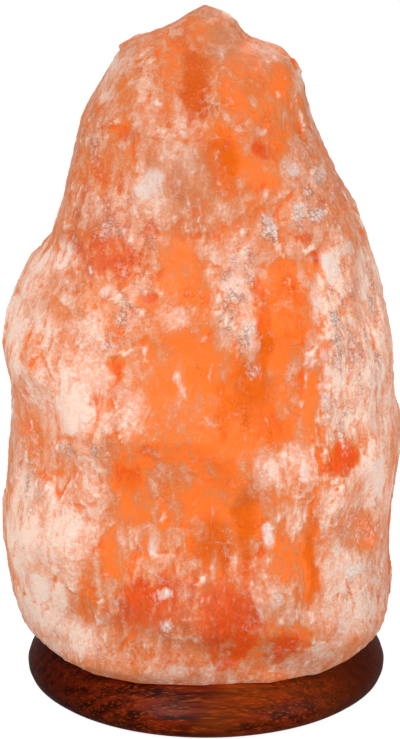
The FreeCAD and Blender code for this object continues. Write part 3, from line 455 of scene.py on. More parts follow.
def rock_salt(look):
    """Hewn rock salt: translucent halite, stained by iron, crushed white where it was struck. The eye sees
    clouds of white and salmon broken by clear orange windows, with a damp gloss on the broken faces."""
    material, place = new_material("hewn_rock_salt")
    add = partial(add_node, material)
    tone = {}
    for attribute, names in TONE_LAYERS:
        read = add("Attribute", attribute_name=attribute).node.outputs
        parts = add("SeparateColor", {"Color": read["Color"]}).node.outputs
        tone.update(zip(names, (parts[0], parts[1], parts[2], read["Alpha"])))
    upright = add("Mapping", {"Vector": place, "Scale": (1.0, 1.0, 0.16)})
    tall = add("Mapping", {"Vector": place, "Scale": (1.15, 1.15, 0.55)})
    height = add("SeparateXYZ", {"Vector": place}, "Z")

    # The salt's patterns: where each is read, the size of its features (mm), detail, roughness and distortion.
    cloud, mottle, ragged, grit, fibre, wisps, cracks, waver = (
        add("TexNoise", {"Vector": at, "Scale": per_mm(size), "Detail": fine, "Roughness": rough,
                         "Distortion": bend})
        for at, size, fine, rough, bend in (
            (place, 24, 3.0, 0.55, 0.0), (tall, 9, 3.0, 0.55, 0.3), (tall, 4.6, 4.0, 0.6, 0.3),
            (place, 1.2, 3.0, 0.7, 0.0), (upright, 1.9, 4.0, 0.65, 0.0), (place, 15, 4.0, 0.62, 0.0),
            (place, 6.5, 5.0, 0.7, 0.0), (place, 6, 3.0, 0.6, 0.0),
        )
    )
    # Cleaved flats: each cell of a wavering net takes its own depth of colour, with a crisp edge.
    wavered = add("VectorMath", (waver.node.outputs["Color"], (5 * MM, 5 * MM, 5 * MM), place), **TIMES_PLUS)
    flats = add("TexVoronoi", {"Vector": wavered, "Scale": per_mm(9.5), "Randomness": 1.0}, "Color")
    flat = add("SeparateColor", {"Color": flats})
    # Seams between the grains of the crust, where dirt has settled.
    net = {"Vector": wavered, "Scale": per_mm(2.2), "Randomness": 1.0}
    seams = add("TexVoronoi", net, "Distance", feature="DISTANCE_TO_EDGE")

    def swing(pattern, amount):
        """A pattern as a swing about 0."""
        return add("Math", (add("Math", (pattern, 0.5), **LESS), amount), **TIMES)

    def vein(pattern, width):
        """Thin winding veins: where a pattern crosses its middle."""
        off_middle = add("Math", (add("Math", (pattern, 0.5), **LESS),), operation="ABSOLUTE")
        return add("MapRange", (off_middle, width, 0.0), **SMOOTH)

    def cover(name, pattern, amount, low, high):
        """Where a tone shows: its own strength, with an edge broken up by a pattern."""
        broken = add("Math", (swing(pattern, amount), tone[name]), **PLUS)
        return add("MapRange", (broken, low, high), **SMOOTH)

    # How deep the salt's own colour is, from thick cloudy cream to clear orange. Clear salt is smooth, the
    # rest rugged.
    rugged = add("Math", (tone["orange"], -0.6, 1.0), **TIMES_PLUS)
    streaky = add("Math", (tone["streak"], 0.85, 0.08), **TIMES_PLUS)
    gritty = add("Math", (swing(grit, 1.3), rugged), **TIMES)
    depth = add("Math", (cover("orange", ragged, 1.1, 0.0, 1.0), 0.5, 0.47), **TIMES_PLUS)
    depth = add("Math", (cover("cream", mottle, 1.2, 0.0, 1.1), -0.5, depth), **TIMES_PLUS)
    for more in (
        add("Math", (swing(mottle, 0.72), swing(flat, 0.33)), **PLUS),
        add("Math", (swing(ragged, 0.95), gritty), **PLUS),
        add("Math", (streaky, swing(fibre, -3.0)), **TIMES),
    ):
        depth = add("Math", (depth, more), **PLUS)

    # Where each look starts and ends along its pattern and, in some, what it starts and ends at.
    fade = {
        name: add("MapRange", reach, **SMOOTH)
        for name, reach in {
            "rose": (depth, -0.1, 0.36), "salmon": (depth, 0.24, 0.68), "orange": (depth, 0.56, 1.0),
            "clear": (depth, 0.6, 1.0), "wisp": (mottle, 0.46, 0.6), "frost": (mottle, 0.3, 0.55, 0.7, 1.0),
            "crack": (cloud, 0.42, 0.56), "paste": (mottle, 0.38, 0.6, 0.2, 0.8), "grain": (grit, 0.36, 0.6),
            "glint": (grit, 0.58, 0.7), "seam": (seams, 0.12, 0.0), "soiled": (ragged, 0.42, 0.6),
            # The foot and the peak set painted shade on the glow: it dims towards the bottom and the top.
            "gloss": (cloud, 0.3, 0.7, 0.26, 0.46), "foot": (height, 0.018, 0.075, 0.7, 1.0),
            "peak": (height, 0.14, 0.235, 1.0, 0.78),
        }.items()
    }
    open_salt = add("Math", (fade["clear"], -0.95, 1.0), **TIMES_PLUS)
    white = cover("white", ragged, 2.2, 0.3, 1.0)
    # The crust is a paste of pale grains with dirt between them.
    grainy = cover("crust", mottle, 1.6, -0.1, 0.9)
    grains = add("Mix", {0: fade["grain"], 6: rgba(look.sheen), 7: rgba(look.white)}, 2, **MIXED)
    dirt = add("Math", (grainy, add("Math", (fade["seam"], fade["soiled"]), **TIMES)), **TIMES)
    # Painted glints: white specks where the fine grit stands up, most of all on the crust, and not on the clear
    # windows; partly also the white of tiny broken grains.
    glint_share = add("Math", (add("Math", (grainy, 0.4, 0.4), **TIMES_PLUS), open_salt), **TIMES)

    # The layers of the salt's colour, from the body outwards: what each looks like and the shares it is laid
    # on with.
    colour = rgba(look.cream)
    for over, share, *more in (
        (rgba(look.rose), fade["rose"]),
        (rgba(look.salmon), fade["salmon"]),
        (rgba(look.orange), fade["orange"]),
        (rgba(look.amber), cover("amber", ragged, 1.2, 0.15, 0.9)),
        (rgba(look.red), cover("red", ragged, 2.2, 0.2, 1.05)),
        # Painted sheen: a greyer tan on the smooth cleaved faces stands in for the light they reflect.
        (rgba(look.sheen), cover("sheen", ragged, 1.4, 0.1, 1.0), 0.8),
        # Wisps of crushed salt wind over everything but the clear windows.
        (rgba(look.white), vein(wisps, 0.035), fade["wisp"], open_salt, 0.3),
        (rgba(look.white), white, fade["frost"]),
        # Hairline cracks, where iron has stained the broken faces.
        (rgba(look.red), vein(cracks, 0.016), fade["crack"], rugged, 0.5),
        (grains, cover("crust", ragged, 2.6, 0.3, 0.9), fade["paste"]),
        (rgba(look.white), fade["glint"], glint_share),
        (rgba(look.pit), dirt, 0.35),
    ):
        for part in more:
            share = add("Math", (share, part), **TIMES)
        colour = add("Mix", {0: share, 6: colour, 7: over}, 2, **MIXED)

    # Painted glow: the bulb's light is painted into the salt as emission of its own colour. There is some
    # everywhere, more on clear salt, and more on thick cream salt, which keeps the flanks bright. Painted shade
    # dims it towards the foot and the peak.
    glow = add("Math", (fade["clear"], 0.22, add("Math", (tone["cream"], 0.19, 0.4), **TIMES_PLUS)), **TIMES_PLUS)
    for end in ("foot", "peak"):
        glow = add("Math", (glow, fade[end]), **TIMES)
    rough = add("Math", (white, 0.2, fade["gloss"]), **TIMES_PLUS)
    relief = add("Math", (ragged, 0.8), **TIMES)
    for pattern, held_by, amount in ((grit, open_salt, 0.42), (fibre, tone["streak"], 0.6)):
        relief = add("Math", (add("Math", (pattern, held_by), **TIMES), amount, relief), **TIMES_PLUS)
    relief = add("Math", (dirt, -0.8, relief), **TIMES_PLUS)
    shader = surface(
        material, colour, rough, relief, 1.3, IOR=1.544, Specular_IOR_Level=0.25, Subsurface_Weight=0.2,
        Subsurface_Scale=0.006, Subsurface_Radius=(1.0, 0.42, 0.2), Emission_Strength=1.0,
    )
    painted_glow = add("VectorMath", {0: colour, "Scale": glow}, operation="SCALE")
    material.node_tree.links.new(painted_glow, shader.inputs["Emission Color"])
    return material


def stained_mahogany(look):
    """Mahogany, turned, stained dark and rubbed with satin lacquer: the eye sees reddish brown with fine dark
    pores that run along the plank, pale flecks where less stain went in, and a soft gloss on the rounded
    edge."""
    material, place = new_material("stained_mahogany")
    add = partial(add_node, material)
    along = add("Mapping", {"Vector": place, "Scale": (0.05, 1.0, 1.0)})
    flecked = add("Mapping", {"Vector": place, "Scale": (0.08, 1.0, 1.0)})
    ring_noise = {"Vector": along, "Scale": 1.0 / look.ring_width, "Detail": 3.0, "Roughness": 0.55}
    rings = add("TexNoise", {**ring_noise, "Distortion": 0.3})
    # A feature of the noise is about 2.2 pores wide.
    pore_noise = {"Vector": flecked, "Scale": 1.0 / (2.2 * look.pore_width), "Detail": 2.0, "Roughness": 0.6}
    pores = add("TexNoise", pore_noise)
    blotch = add("TexNoise", {"Vector": place, "Scale": per_mm(40), "Detail": 2.0})
    # Painted shade: the base is darkened towards its left and right ends, where the light falls off round the
    # turned side; end grain, which drinks more stain, lies there too.
    ends = add("Math", (add("SeparateXYZ", {"Vector": place}, "X"),), operation="ABSOLUTE")
    colour = rgba(look.dark)
    for pattern, low, high, above, most in (
        (rings, 0.35, 0.65, look.middle, 1.0),
        (blotch, 0.4, 0.7, look.light, 0.35),
        (pores, 0.52, 0.72, look.light, 0.7),
        (pores, 0.46, 0.28, look.dark, 0.4),
        (ends, 0.022, 0.058, look.dark, 0.72),
    ):
        share = add("MapRange", {0: pattern, 1: low, 2: high, 4: most}, **SMOOTH)
        colour = add("Mix", {0: share, 6: colour, 7: rgba(above)}, 2, **MIXED)
    rough = add("MapRange", (pores, 0.3, 0.7, 0.48, 0.34))
    surface(
        material, colour, rough, pores, 0.1, IOR=1.35, Specular_IOR_Level=0.1, Coat_Weight=0.08, Coat_Roughness=0.3
    )
    return material


def simple_finish(name, hex_dark, hex_light, grain, rough, bump, squeeze=(1.0, 1.0, 1.0), **constants):
    """A finish with one grain: two colours mixed by noise of this size (mm), a roughness range and a bump (mm).
    Squeeze stretches the grain along an axis where it is below 1, as on brushed, drawn or turned metal."""
    material, place = new_material(name)
    add = partial(add_node, material)
    worked = add("Mapping", {"Vector": place, "Scale": squeeze})
    pattern = add("TexNoise", {"Vector": worked, "Scale": per_mm(grain), "Detail": 4.0, "Roughness": 0.6})
    colours = {6: rgba(linear(hex_dark)), 7: rgba(linear(hex_light))}
    colour = add("Mix", {0: pattern, **colours}, 2, **MIXED)
    roughness = add("MapRange", (pattern, 0.3, 0.7, *rough))
    surface(material, colour, roughness, pattern, bump, **constants)
    return material


# ------------------------------------------------------------------ the crystal
# The walls of the bore lie within this radius and below this height, and keep their shape (mm).
BORE_REACH, BORE_TOP = 28, 146
# The relief fades over this much of the peak, so that the lamp keeps its height (mm).
PEAK_HELD = 8


def worn_down(points, edges, keep, passes):
    """Laplacian softening of the points, or of any values that they carry, where keep is below 1."""
    count, width = points.shape
    links = np.bincount(edges.ravel(), minlength=count).astype(float)
    share = (0.5 * (1 - keep))[:, None]
    for _ in range(passes):
        mean = np.empty_like(points)
        for axis in range(width):
            far = np.bincount(edges[:, 0], points[edges[:, 1], axis], count)
            mean[:, axis] = (far + np.bincount(edges[:, 1], points[edges[:, 0], axis], count)) / links
        points = points + share * (mean - points)
    return points


def noise_field(points, size, seed):
    """Smooth noise, from about -1 to 1, with lumps of this size (mm), at each point (mm)."""
    shift = Vector((seed * 17.3, seed * 9.1, seed * 5.7))
    return np.array([noise.fractal(Vector(p) / size + shift, 1.0, 2.1, 3) for p in points])


def facet_field(points, size, seed):
    """Broken facets, taller than wide, of about this size (mm): each tilts its own way. From about -1 to 1."""
    rng = random.Random(seed)
    points = points * (1.0, 1.0, 0.6)
    low, high = points.min(0), points.max(0)
    count = int(np.prod((high - low) / size) * 0.55)
    tree = kdtree.KDTree(count)
    tilts = []
    for k in range(count):
        tree.insert([rng.uniform(a, b) for a, b in zip(low, high)], k)
        tilts.append(Vector([rng.uniform(-1, 1) for _ in range(3)]))
    tree.balance()
    field = []
    for point in points:
        place, number, _ = tree.find(point)
        field.append((Vector(point) - place).dot(tilts[number]) / size)
    return np.array(field)


def patch_cover(across, up, patches):
    """How strongly soft-edged patches cover each point."""
    cover = np.zeros(len(across))
    for x, y, half_width, half_height, strength, *tilt in patches:
        turn = math.radians(tilt[0] if tilt else 0)
        dx, dy = across - x, up - y
        u = (dx * math.cos(turn) + dy * math.sin(turn)) / half_width
        v = (dy * math.cos(turn) - dx * math.sin(turn)) / half_height
        cover = np.maximum(cover, strength * smooth_step(1.5, 0.35, np.hypot(u, v)))
    return cover


def ledge_cut(across, up, ledges):
    """How deep the ledges are cut at each point (mm)."""
    cut = np.zeros(len(across))
    for depth, width, points in ledges:
        nearest = np.full(len(across), 1e9)
        for (ax, ay), (bx, by) in zip(points, points[1:]):
            length = (bx - ax) ** 2 + (by - ay) ** 2
            t = np.clip(((across - ax) * (bx - ax) + (up - ay) * (by - ay)) / length, 0, 1)
            nearest = np.minimum(nearest, np.hypot(across - ax - t * (bx - ax), up - ay - t * (by - ay)))
        cut = np.maximum(cut, depth * np.exp(-((nearest / width) ** 2)))
    return cut


def hidden_side_tones(points, seed):
    """Tones for the sides that no view of the front shows: upright patches at random, and columns that glow."""
    rng = random.Random(seed)
    amounts = {
        "orange": 20, "amber": 9, "red": 30, "white": 40, "cream": 34, "crust": 34, "sheen": 12, "streak": 14
    }
    tones = {}
    for name, count in amounts.items():
        cover = np.zeros(len(points))
        for _ in range(count):
            centre = points[rng.randrange(len(points))]
            wide = rng.uniform(2.5, 8) * (2.2 if name in ("orange", "cream", "sheen", "streak") else 1)
            tall = wide * rng.uniform(1.0, 2.6)
            gap = points - centre
            reach = np.hypot(np.hypot(gap[:, 0], gap[:, 1]) / wide, gap[:, 2] / tall)
            cover = np.maximum(cover, rng.uniform(0.4, 0.95) * smooth_step(1.5, 0.35, reach))
        tones[name] = cover * (0.7 if name == "white" else 1.0)
    tones["cream"] = np.maximum(tones["cream"], 0.6 * smooth_step(-0.3, 0.5, noise_field(points, 32, 14)))
    angle = np.arctan2(points[:, 1], points[:, 0])
    between = smooth_step(30, 70, points[:, 2]) * smooth_step(235, 190, points[:, 2])
    for facing in (48, 96, 140):
        off = np.abs((angle - math.radians(facing) + math.pi) % (2 * math.pi) - math.pi)
        tones["orange"] = np.maximum(tones["orange"], 0.7 * (smooth_step(0.45, 0.05, off) * between))
    return tones


def crystal_tones(points, normals, seed):
    """Every tone at every point: the front's patches where the front shows, random ones elsewhere. Also how
    deep the ledges are cut there (mm)."""
    sine, cosine = math.sin(VIEW_ELEVATION), math.cos(VIEW_ELEVATION)
    distance = VIEW_DISTANCE / MM
    offset = points - np.array(VIEW_TARGET) / MM
    depth = distance + offset @ np.array([0, cosine, -sine])
    across = offset[:, 0] * distance / depth
    up = offset @ np.array([0, sine, cosine]) * distance / depth
    for size, reach in ((13.0, 1.6), (4.0, 0.9)):
        across = across + reach * noise_field(points, size, 3)
        up = up + reach * noise_field(points, size, 4)
    facing = smooth_step(0.0, 0.3, normals @ np.array([0, -cosine, sine]))
    hidden = hidden_side_tones(points, seed)
    tones = {}
    for name in TONES:
        tones[name] = facing * patch_cover(across, up, FRONT_PATCHES[name]) + (1 - facing) * hidden[name]
    return tones, facing * ledge_cut(across, up, LEDGES)


def hewn_crystal(look):
    """The block of the solids, remeshed, worn and broken into fine relief, with its tones on its points."""
    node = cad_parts["salt_crystal"]
    bm = bmesh.new()
    bm.from_mesh(node.data)
    bmesh.ops.remove_doubles(bm, verts=bm.verts, dist=1e-5)
    mesh = bpy.data.meshes.new("hewn_crystal")
    bm.to_mesh(mesh)
    bm.free()
    mesh = with_modifiers_applied(mesh, ("REMESH", {"mode": "VOXEL", "voxel_size": look.grain}))
    count = len(mesh.vertices)
    flat = np.empty(count * 3)
    mesh.vertices.foreach_get("co", flat)
    points = flat.reshape(-1, 3) / MM
    ends = np.empty(len(mesh.edges) * 2, int)
    mesh.edges.foreach_get("vertices", ends)
    ends = ends.reshape(-1, 2)

    low, high = (np.array(corner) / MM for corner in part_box("salt_crystal"))
    radius = np.hypot(points[:, 0], points[:, 1])
    in_bore = (radius < BORE_REACH) & (points[:, 2] < BORE_TOP)
    free = np.where(in_bore, 0.0, smooth_step(low[2] + 0.3, low[2] + 4, points[:, 2]))
    free *= 0.2 + 0.8 * smooth_step(high[2], high[2] - PEAK_HELD, points[:, 2])
    points = worn_down(points, ends, 1 - free, look.softening)
    mesh.vertices.foreach_set("co", (points * MM).ravel())
    mesh.update()
    mesh.vertices.foreach_get("normal", flat)
    normals = flat.reshape(-1, 3).copy()

    tones, ledges = crystal_tones(points, normals, look.seed)
    relief = look.lump_depth * (noise_field(points, 24, 5) - 0.2)
    clear = np.maximum(tones["orange"], tones["amber"])
    facets = facet_field(points, 15, 6) + 0.5 * facet_field(points, 7, 7)
    relief += look.facet_depth * facets * (1 - 0.75 * clear)
    relief += look.grit_depth * noise_field(points, 3.2, 8) * (1 - 0.6 * tones["orange"]) * (1 + tones["crust"])
    relief += look.crust_height * tones["crust"] * (0.7 + 0.6 * noise_field(points, 2.6, 9))
    relief -= look.window_depth * clear * (1 - tones["crust"])
    relief = relief / MM - ledges
    # Where the relief stands out sharply the salt is crushed pale, and where it dips the salt's own colour shows.
    sharp = relief - worn_down(relief[:, None], ends, np.zeros(count), 10)[:, 0]
    struck, dipped = (smooth_step(0.05, look.strike / MM, side * sharp) for side in (1, -1))
    struck = struck * smooth_step(-0.35, 0.35, noise_field(points, 6, 12)) * (1 - 0.5 * clear)
    tones["cream"] = np.maximum(tones["cream"], 0.9 * struck)
    tones["white"] = np.maximum(tones["white"], 0.55 * struck)
    tones["orange"] = np.maximum(tones["orange"], 0.6 * dipped)
    tones["red"] = np.maximum(tones["red"], 0.5 * dipped * (1 - 0.6 * tones["cream"]))
    points = points + normals * (relief * free)[:, None]
    points = np.where(in_bore[:, None], points, np.clip(points, low, high))
    mesh.vertices.foreach_set("co", (points * MM).ravel())

    for attribute, names in TONE_LAYERS:
        layer = mesh.attributes.new(attribute, "FLOAT_COLOR", "POINT")
        layer.data.foreach_set("color", np.stack([tones[name] for name in names], 1).astype(np.float32).ravel())
    mesh.update()
    return mesh


class BuildCrystal(bpy.types.Operator):
    """Hews the salt crystal out of its solid"""

    bl_idname = "salt_lamp.crystal"
    bl_label = "Salt crystal"

    def execute(self, context):
        look = context.scene.salt_lamp.crystal
        finish_piece("hewn_crystal", hewn_crystal(look), "lamp_body", "rock_salt", rock_salt(look), "salt_crystal")
        return {"FINISHED"}


# ------------------------------------------------------------------ the base
class BuildBase(bpy.types.Operator):
    """Turns the wooden base, and cuts its bore, its cord channel and the recesses in its underside"""

    bl_idname = "salt_lamp.base"
    bl_label = "Wooden base"

    def execute(self, context):
        look = context.scene.salt_lamp.wood
        profile = (
            (22.0, 1.5), (60.6, 1.5), (62.6, 1.75), (64.1, 2.9), (64.85, 4.7), (65.0, 6.5), (64.2, 9.0),
            (61.8, 12.1), (59.3, 15.1), (57.0, 17.3), (55.8, 18.5), (22.0, 18.5),
        )
        base = spun(profile, 144, look.edge_round, (0, 1, 9, 10, 11))
        mesh = bpy.data.meshes.new("turned_base")
        base.to_mesh(mesh)
        base.free()
        cuts = [post(4.8, 0, 8.5, x, y) for x, y in around(3, 38, 30)]
        cuts += [post(2.3, 0, 20, x, y, 20) for x, y in around(3, 38, 30)]
        cuts += [post(6.2, 0, 2.5, x, y, 40) for x, y in around(4, 50, 45)]
        channel = post(4.5, 0, 71, 0, 0, 40)
        backwards = Vector((0, 0, 1)).rotation_difference((0, 1, 0)).to_matrix()
        bmesh.ops.rotate(channel, verts=channel.verts, cent=(0, 0, 0), matrix=backwards)
        bmesh.ops.translate(channel, verts=channel.verts, vec=(0, 0, 5.0 * MM))
        sides = bmesh.new()
        bmesh.ops.create_cube(sides, size=1.0)
        bmesh.ops.scale(sides, verts=sides.verts, vec=(9 * MM, 71 * MM, 10 * MM))
        bmesh.ops.translate(sides, verts=sides.verts, vec=(0, 35.5 * MM, 0))
        cuts += [channel, sides]
        holders = [cutter(cut) for cut in cuts]
        mesh = with_modifiers_applied(
            mesh, *[("BOOLEAN", {"object": h, "operation": "DIFFERENCE", "solver": "EXACT"}) for h in holders]
        )
        for holder in holders:
            bpy.data.objects.remove(holder)
        mesh.set_sharp_from_angle(angle=math.radians(40))
        finish_piece("turned_base", mesh, "lamp_body", "dark_hardwood", stained_mahogany(look), "wooden_base")
        return {"FINISHED"}


class DressFixings(bpy.types.Operator):
    """Finishes the feet, tacks and crystal screws"""

    bl_idname = "salt_lamp.fixings"
    bl_label = "Feet, tacks and screws"

    def execute(self, context):
        # Moulded rubber: dull black with a faint bloom.
        rubber = simple_finish("moulded_rubber", "#121211", "#232221", 0.8, (0.62, 0.85), 0.04, IOR=1.52)
        # Zinc-plated steel: cool grey with a faint blue cast and soft blurred highlights.
        zinc = simple_finish("zinc_plated_steel", "#A9AAA6", "#CFCFCB", 0.5, (0.26, 0.42), 0.01, Metallic=1.0)
        dress(rubber, "rubber_feet")
        dress(zinc, "foot_tacks", "crystal_screws", "terminal_screws")
        return {"FINISHED"}


# ------------------------------------------------------------------ the lampholder
FLUTES, FLUTE_DEPTH = 32, 0.35  # round the sleeve, and mm


class BuildHolder(bpy.types.Operator):
    """Moulds the lampholder, rolls its threads and finishes its contacts"""

    bl_idname = "salt_lamp.holder"
    bl_label = "Lampholder"

    def execute(self, context):
        bulb = context.scene.salt_lamp.bulb
        # Phenolic resin, moulded: near black, with a hard gloss and a slight mottle from the filler.
        phenolic = simple_finish(
            "moulded_phenolic", "#0F0E0D", "#1D1A18", 1.4, (0.2, 0.34), 0.015, IOR=1.58, Coat_Weight=0.2
        )
        # Steatite, fired and unglazed: warm white, dead matt, very fine grain.
        steatite = simple_finish("fired_steatite", "#D8D2C4", "#E9E4D9", 0.6, (0.55, 0.7), 0.02, IOR=1.58)
        # Brass, drawn and slightly tarnished: warm yellow with brownish patches.
        brass = simple_finish("drawn_brass", "#9C7A38", "#D2AF66", 2.2, (0.22, 0.4), 0.008, Metallic=1.0)
        # Spring steel strip: grey, with drawn lines along the strip.
        spring = simple_finish(
            "spring_steel_strip", "#8B8C8E", "#B4B5B7", 0.4, (0.24, 0.38), 0.008, squeeze=(0.05, 1, 0.05),
            Metallic=1.0
        )
        sleeve = spun(
            [(11.0, 19.0), (13.5, 19.0)]
            + [(13.5, z) for z in wall_rings(20.2, 52.0, 1.6)]
            + [(13.5, 55.8), (12.3, 57.0), (9.75, 57.0), (8.55, 55.8), (8.55, 31.6), (11.0, 31.6)],
            192, 0.35 * MM, (0, 1),
        )
        for vert in sleeve.verts:
            radius = math.hypot(vert.co.x, vert.co.y)
            if radius > 12.9 * MM and 21.5 * MM < vert.co.z < 50 * MM:
                angle = math.atan2(vert.co.y, vert.co.x)
                flute = FLUTE_DEPTH * MM * (0.5 - 0.5 * math.cos(FLUTES * angle))
                vert.co.x *= 1 - flute / radius
                vert.co.y *= 1 - flute / radius
        new_piece("fluted_sleeve", sleeve, "bulb_holder", "phenolic", phenolic, "holder_sleeve")

        cap = spun(
            [
                (5.1, 11.0), (13.5, 11.0), (13.5, 19.0), (10.9, 19.0),
                (10.9, 27.0), (8.9, 27.0), (8.9, 14.0), (5.1, 14.0),
            ],
            96, 0.8 * MM, (1,),
        )
        new_piece("moulded_cap", cap, "bulb_holder", "phenolic", phenolic, "holder_cap")

        pitch = bulb.thread_pitch
        shell = spun(
            [(7.35, 31.0), (9.35, 31.0), (9.35, 31.5), (8.1, 31.5)]
            + [(8.1, z) for z in wall_rings(32.2, 52.4, 0.35)]
            + [(8.1, 53.0), (7.7, 53.0)]
            + [(7.7, z) for z in wall_rings(32.2, 52.4, 0.35)[::-1]]
            + [(7.7, 31.5)],
            60,
        )
        roll_thread(shell, 32.0 * MM, 52.8 * MM, pitch, bulb.thread_depth)
        new_piece("rolled_shell", shell, "bulb_holder", "brass", brass, "screw_shell")

        nipple = spun(
            [(3.5, 6.0), (4.75, 6.0)]
            + [(5.0, z) for z in wall_rings(6.3, 13.8, 0.16)]
            + [(5.0, 14.0), (7.0, 14.0), (7.0, 15.5), (3.5, 15.5)],
            48,
        )
        roll_thread(nipple, 6.2 * MM, 13.9 * MM, 1.0 * MM, 0.4 * MM, 4.6 * MM)
        new_piece("threaded_nipple", nipple, "bulb_holder", "brass", brass, "entry_nipple")

        dress(brass, "centre_contact", "side_contact", "terminal_barrels", "nipple_nut")
        dress(steatite, "contact_block")
        dress(spring, "spring_clip")
        return {"FINISHED"}


# ------------------------------------------------------------------ the bulb
def glass_profile(radius, neck):
    """One wall of the blown glass: a neck, a swell in an S-curve, a straight side and a round dome (mm)."""
    points = [(neck, 48.8)]
    for k in range(13):
        swell = (1 - math.cos(math.pi * k / 12)) / 2
        points.append((neck + (radius - neck) * swell, 57.8 + 17 * k / 12))
    for k in range(12):
        turn = math.pi / 2 * k / 12
        points.append((radius * math.cos(turn), 82.8 + radius * math.sin(turn)))
    return points + [(0.0, 82.8 + radius)]


def coil_path(turns, radius):
    """The points of the coiled filament: up from one lead wire, over the hook and down to the other."""
    ends, top, spread = 76.1, 80.7 - 0.3, 5.0  # mm: the wires' tops, just under the hook, and half the wires' gap
    steps = 10  # to a turn
    points = []
    for k in range(turns * steps + 1):
        t = k / (turns * steps)
        x = spread * (2 * t - 1)
        z = ends + (top - ends) * math.sin(math.pi * t) ** 0.8
        angle = 2 * math.pi * k / steps
        points.append((x * MM, radius * math.cos(angle), z * MM + radius * math.sin(angle)))
    return points


class BuildBulb(bpy.types.Operator):
    """Blows the bulb's glass, rolls its cap and coils its filament"""

    bl_idname = "salt_lamp.bulb"
    bl_label = "Bulb"

    def execute(self, context):
        look = context.scene.salt_lamp.bulb
        # Blown soda-lime glass: clear, thin, with bright rims and a faint waviness.
        glass = simple_finish(
            "blown_glass", "#F4F8F7", "#FFFFFF", 9, (0.0, 0.02), 0.02, IOR=1.52, Transmission_Weight=1.0
        )
        # Nickel-plated cap: bright, slightly warm grey, drawn.
        nickel = simple_finish("nickel_plated_cap", "#B7B4AC", "#D6D3CB", 1.2, (0.16, 0.3), 0.006, Metallic=1.0)
        # Cap glass: black, fired, glossy.
        black_glass = simple_finish("black_cap_glass", "#08080A", "#141418", 2, (0.06, 0.14), 0.01, IOR=1.52)
        # Solder: dull grey, a little lumpy from cooling.
        solder = simple_finish("cooled_solder", "#8F8F8D", "#B1B1AE", 0.7, (0.34, 0.52), 0.06, Metallic=1.0)
        # Tungsten at working heat: it glows a warm yellow-white.
        tungsten = simple_finish(
            "glowing_tungsten", "#C9A36A", "#E8C890", 0.3, (0.4, 0.5), 0.002, Metallic=1.0, Emission_Strength=9.0,
            Emission_Color=rgba(look.glow),
        )
        envelope = spun(glass_profile(13.0, 6.65) + glass_profile(12.3, 5.95)[::-1], 64)
        new_piece("blown_envelope", envelope, "bulb", "clear_glass", glass, "bulb_glass")

        walls = wall_rings(39.8, 54.6, 0.35)
        cap = spun(
            [(6.95, z) for z in walls] + [(6.95, 55.8), (7.95, 57.8), (7.65, 57.8), (6.65, 55.8)]
            + [(6.65, z) for z in walls[::-1]],
            60,
        )
        roll_thread(cap, 39.9 * MM, 54.6 * MM, look.thread_pitch, look.thread_depth)
        new_piece("rolled_cap", cap, "bulb", "cap_metal", nickel, "bulb_screw_cap")

        tip = spun([(0.0, 34.8), (0.8, 34.85), (1.5, 35.15), (2.05, 35.7), (2.3, 36.3), (0.0, 36.3)], 32)
        new_piece("solder_tip", tip, "bulb", "solder", solder, "bulb_tip")

        curve = bpy.data.curves.new("coil", "CURVE")
        curve.dimensions = "3D"
        curve.bevel_depth = look.wire_radius
        curve.bevel_resolution = 1
        path = coil_path(44, look.coil_radius - look.wire_radius)
        line = curve.splines.new("POLY")
        line.points.add(len(path) - 1)
        for point, place in zip(line.points, path):
            point.co = (*place, 1.0)
        holder = bpy.data.objects.new("coil", curve)
        bpy.context.scene.collection.objects.link(holder)
        coil = bpy.data.meshes.new_from_object(holder.evaluated_get(bpy.context.evaluated_depsgraph_get()))
        bpy.data.objects.remove(holder)
        finish_piece("coiled_filament", coil, "bulb", "tungsten", tungsten, "filament")

        dress(glass, "glass_stem")
        dress(nickel, "lead_wires")
        dress(black_glass, "cap_insulator")
        dress(tungsten, "filament_hook")
        return {"FINISHED"}


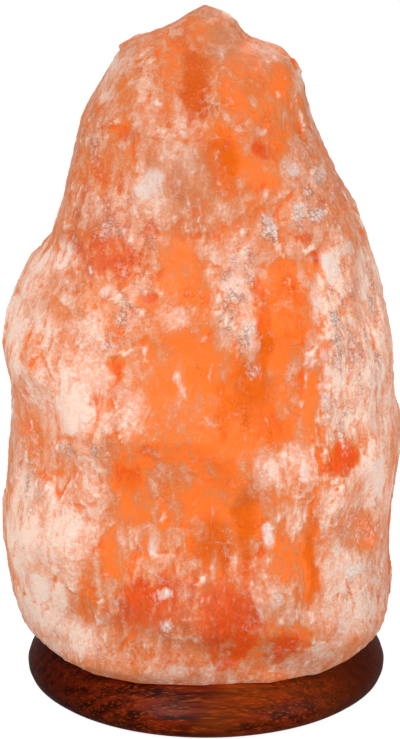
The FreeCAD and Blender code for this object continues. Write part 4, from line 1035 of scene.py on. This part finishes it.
# ------------------------------------------------------------------ the stage
class BuildStage(bpy.types.Operator):
    """Sets the white floor, the soft lights and the camera"""

    bl_idname = "salt_lamp.stage"
    bl_label = "Stage"

    def execute(self, context):
        look = context.scene.salt_lamp.stage
        scene = context.scene
        # Matt paper, lit from below so that it burns out to white and throws little light back on the lamp. It has
        # one side: from below it is clear, so that the underside of the lamp can be looked at.
        paper, _ = new_material("white_paper")
        white = (1, 1, 1, 1)
        shader = surface(paper, rgba(look.floor), 0.9, None, 0.0, Specular_IOR_Level=0.0, Emission_Color=white)
        seen = add_node(paper, "LightPath", out="Is Camera Ray")
        level = add_node(paper, "MapRange", {"Value": seen, "To Min": look.sky, "To Max": 0.95})
        paper.node_tree.links.new(level, shader.inputs["Emission Strength"])
        below = add_node(paper, "NewGeometry", out="Backfacing")
        clear = add_node(paper, "BsdfTransparent")
        one_sided = add_node(paper, "MixShader", {0: below, 1: shader.outputs[0], 2: clear})
        paper.node_tree.links.new(one_sided, paper.node_tree.nodes["Material Output"].inputs["Surface"])
        floor = bmesh.new()
        bmesh.ops.create_grid(floor, x_segments=1, y_segments=1, size=12.0)
        bmesh.ops.translate(floor, verts=floor.verts, vec=(0, 0, -0.05 * MM))
        mesh = bpy.data.meshes.new("floor")
        floor.to_mesh(mesh)
        floor.free()
        mesh.materials.append(paper)
        plane = bpy.data.objects.new("floor", mesh)
        scene.collection.objects.link(plane)

        world = bpy.data.worlds.new("white_surround")
        world.use_nodes = True
        back = world.node_tree.nodes["Background"]
        back.inputs["Color"].default_value = white
        seen = add_node(world, "LightPath", out="Is Camera Ray")
        level = add_node(world, "MapRange", {"Value": seen, "To Min": look.sky, "To Max": 1.0})
        world.node_tree.links.new(level, back.inputs["Strength"])
        scene.world = world

        lights = (
            ("key", (-0.5, -1.05, 1.1), 0.6, look.key_power),
            ("fill", (0.95, -0.7, 0.55), 0.8, look.fill_power),
            ("back", (0.2, 1.1, 0.9), 0.9, 1.6 * look.fill_power),
        )
        target = Vector(VIEW_TARGET)
        for name, place, size, power in lights:
            light = bpy.data.lights.new(name, "AREA")
            light.shape = "DISK"
            light.size = size
            light.energy = power
            lamp = bpy.data.objects.new(name, light)
            lamp.location = place
            lamp.rotation_euler = (target - Vector(place)).to_track_quat("-Z", "Y").to_euler()
            scene.collection.objects.link(lamp)

        camera = bpy.data.cameras.new("camera")
        camera.sensor_fit = "AUTO"
        camera.sensor_width = 36.0
        camera.lens = VIEW_LENS
        camera.clip_end = 60.0
        viewer = bpy.data.objects.new("camera", camera)
        back_off = Vector((0, -math.cos(VIEW_ELEVATION), math.sin(VIEW_ELEVATION))) * VIEW_DISTANCE
        viewer.location = target + back_off
        viewer.rotation_euler = (math.pi / 2 - VIEW_ELEVATION, 0, 0)
        scene.collection.objects.link(viewer)
        scene.camera = viewer
        scene.view_settings.view_transform = "Standard"
        return {"FINISHED"}


# ------------------------------------------------------------------ panel and registration
BUILDERS = (BuildCrystal, BuildBase, DressFixings, BuildHolder, BuildBulb, BuildStage)


class LampPanel(bpy.types.Panel):
    bl_idname = "SALT_LAMP_PT_main"
    bl_label = "Salt Crystal Lamp"
    bl_space_type = "VIEW_3D"
    bl_region_type = "UI"
    bl_category = "Salt Lamp"

    def draw(self, context):
        settings = context.scene.salt_lamp
        for builder in BUILDERS:
            self.layout.operator(builder.bl_idname)
        for group in (settings.crystal, settings.wood, settings.bulb, settings.stage):
            box = self.layout.box()
            for name in group.bl_rna.properties.keys():
                if name not in ("rna_type", "name"):
                    box.prop(group, name)


CLASSES = (CrystalSettings, WoodSettings, BulbSettings, StageSettings, LampSettings, *BUILDERS, LampPanel)


def register():
    for cls in CLASSES:
        bpy.utils.register_class(cls)
    bpy.types.Scene.salt_lamp = PointerProperty(type=LampSettings)


def unregister():
    del bpy.types.Scene.salt_lamp
    for cls in reversed(CLASSES):
        bpy.utils.unregister_class(cls)


def main():
    register()
    for step in ("crystal", "base", "fixings", "holder", "bulb", "stage"):
        getattr(bpy.ops.salt_lamp, step)()


if __name__ == "__main__":
    main()
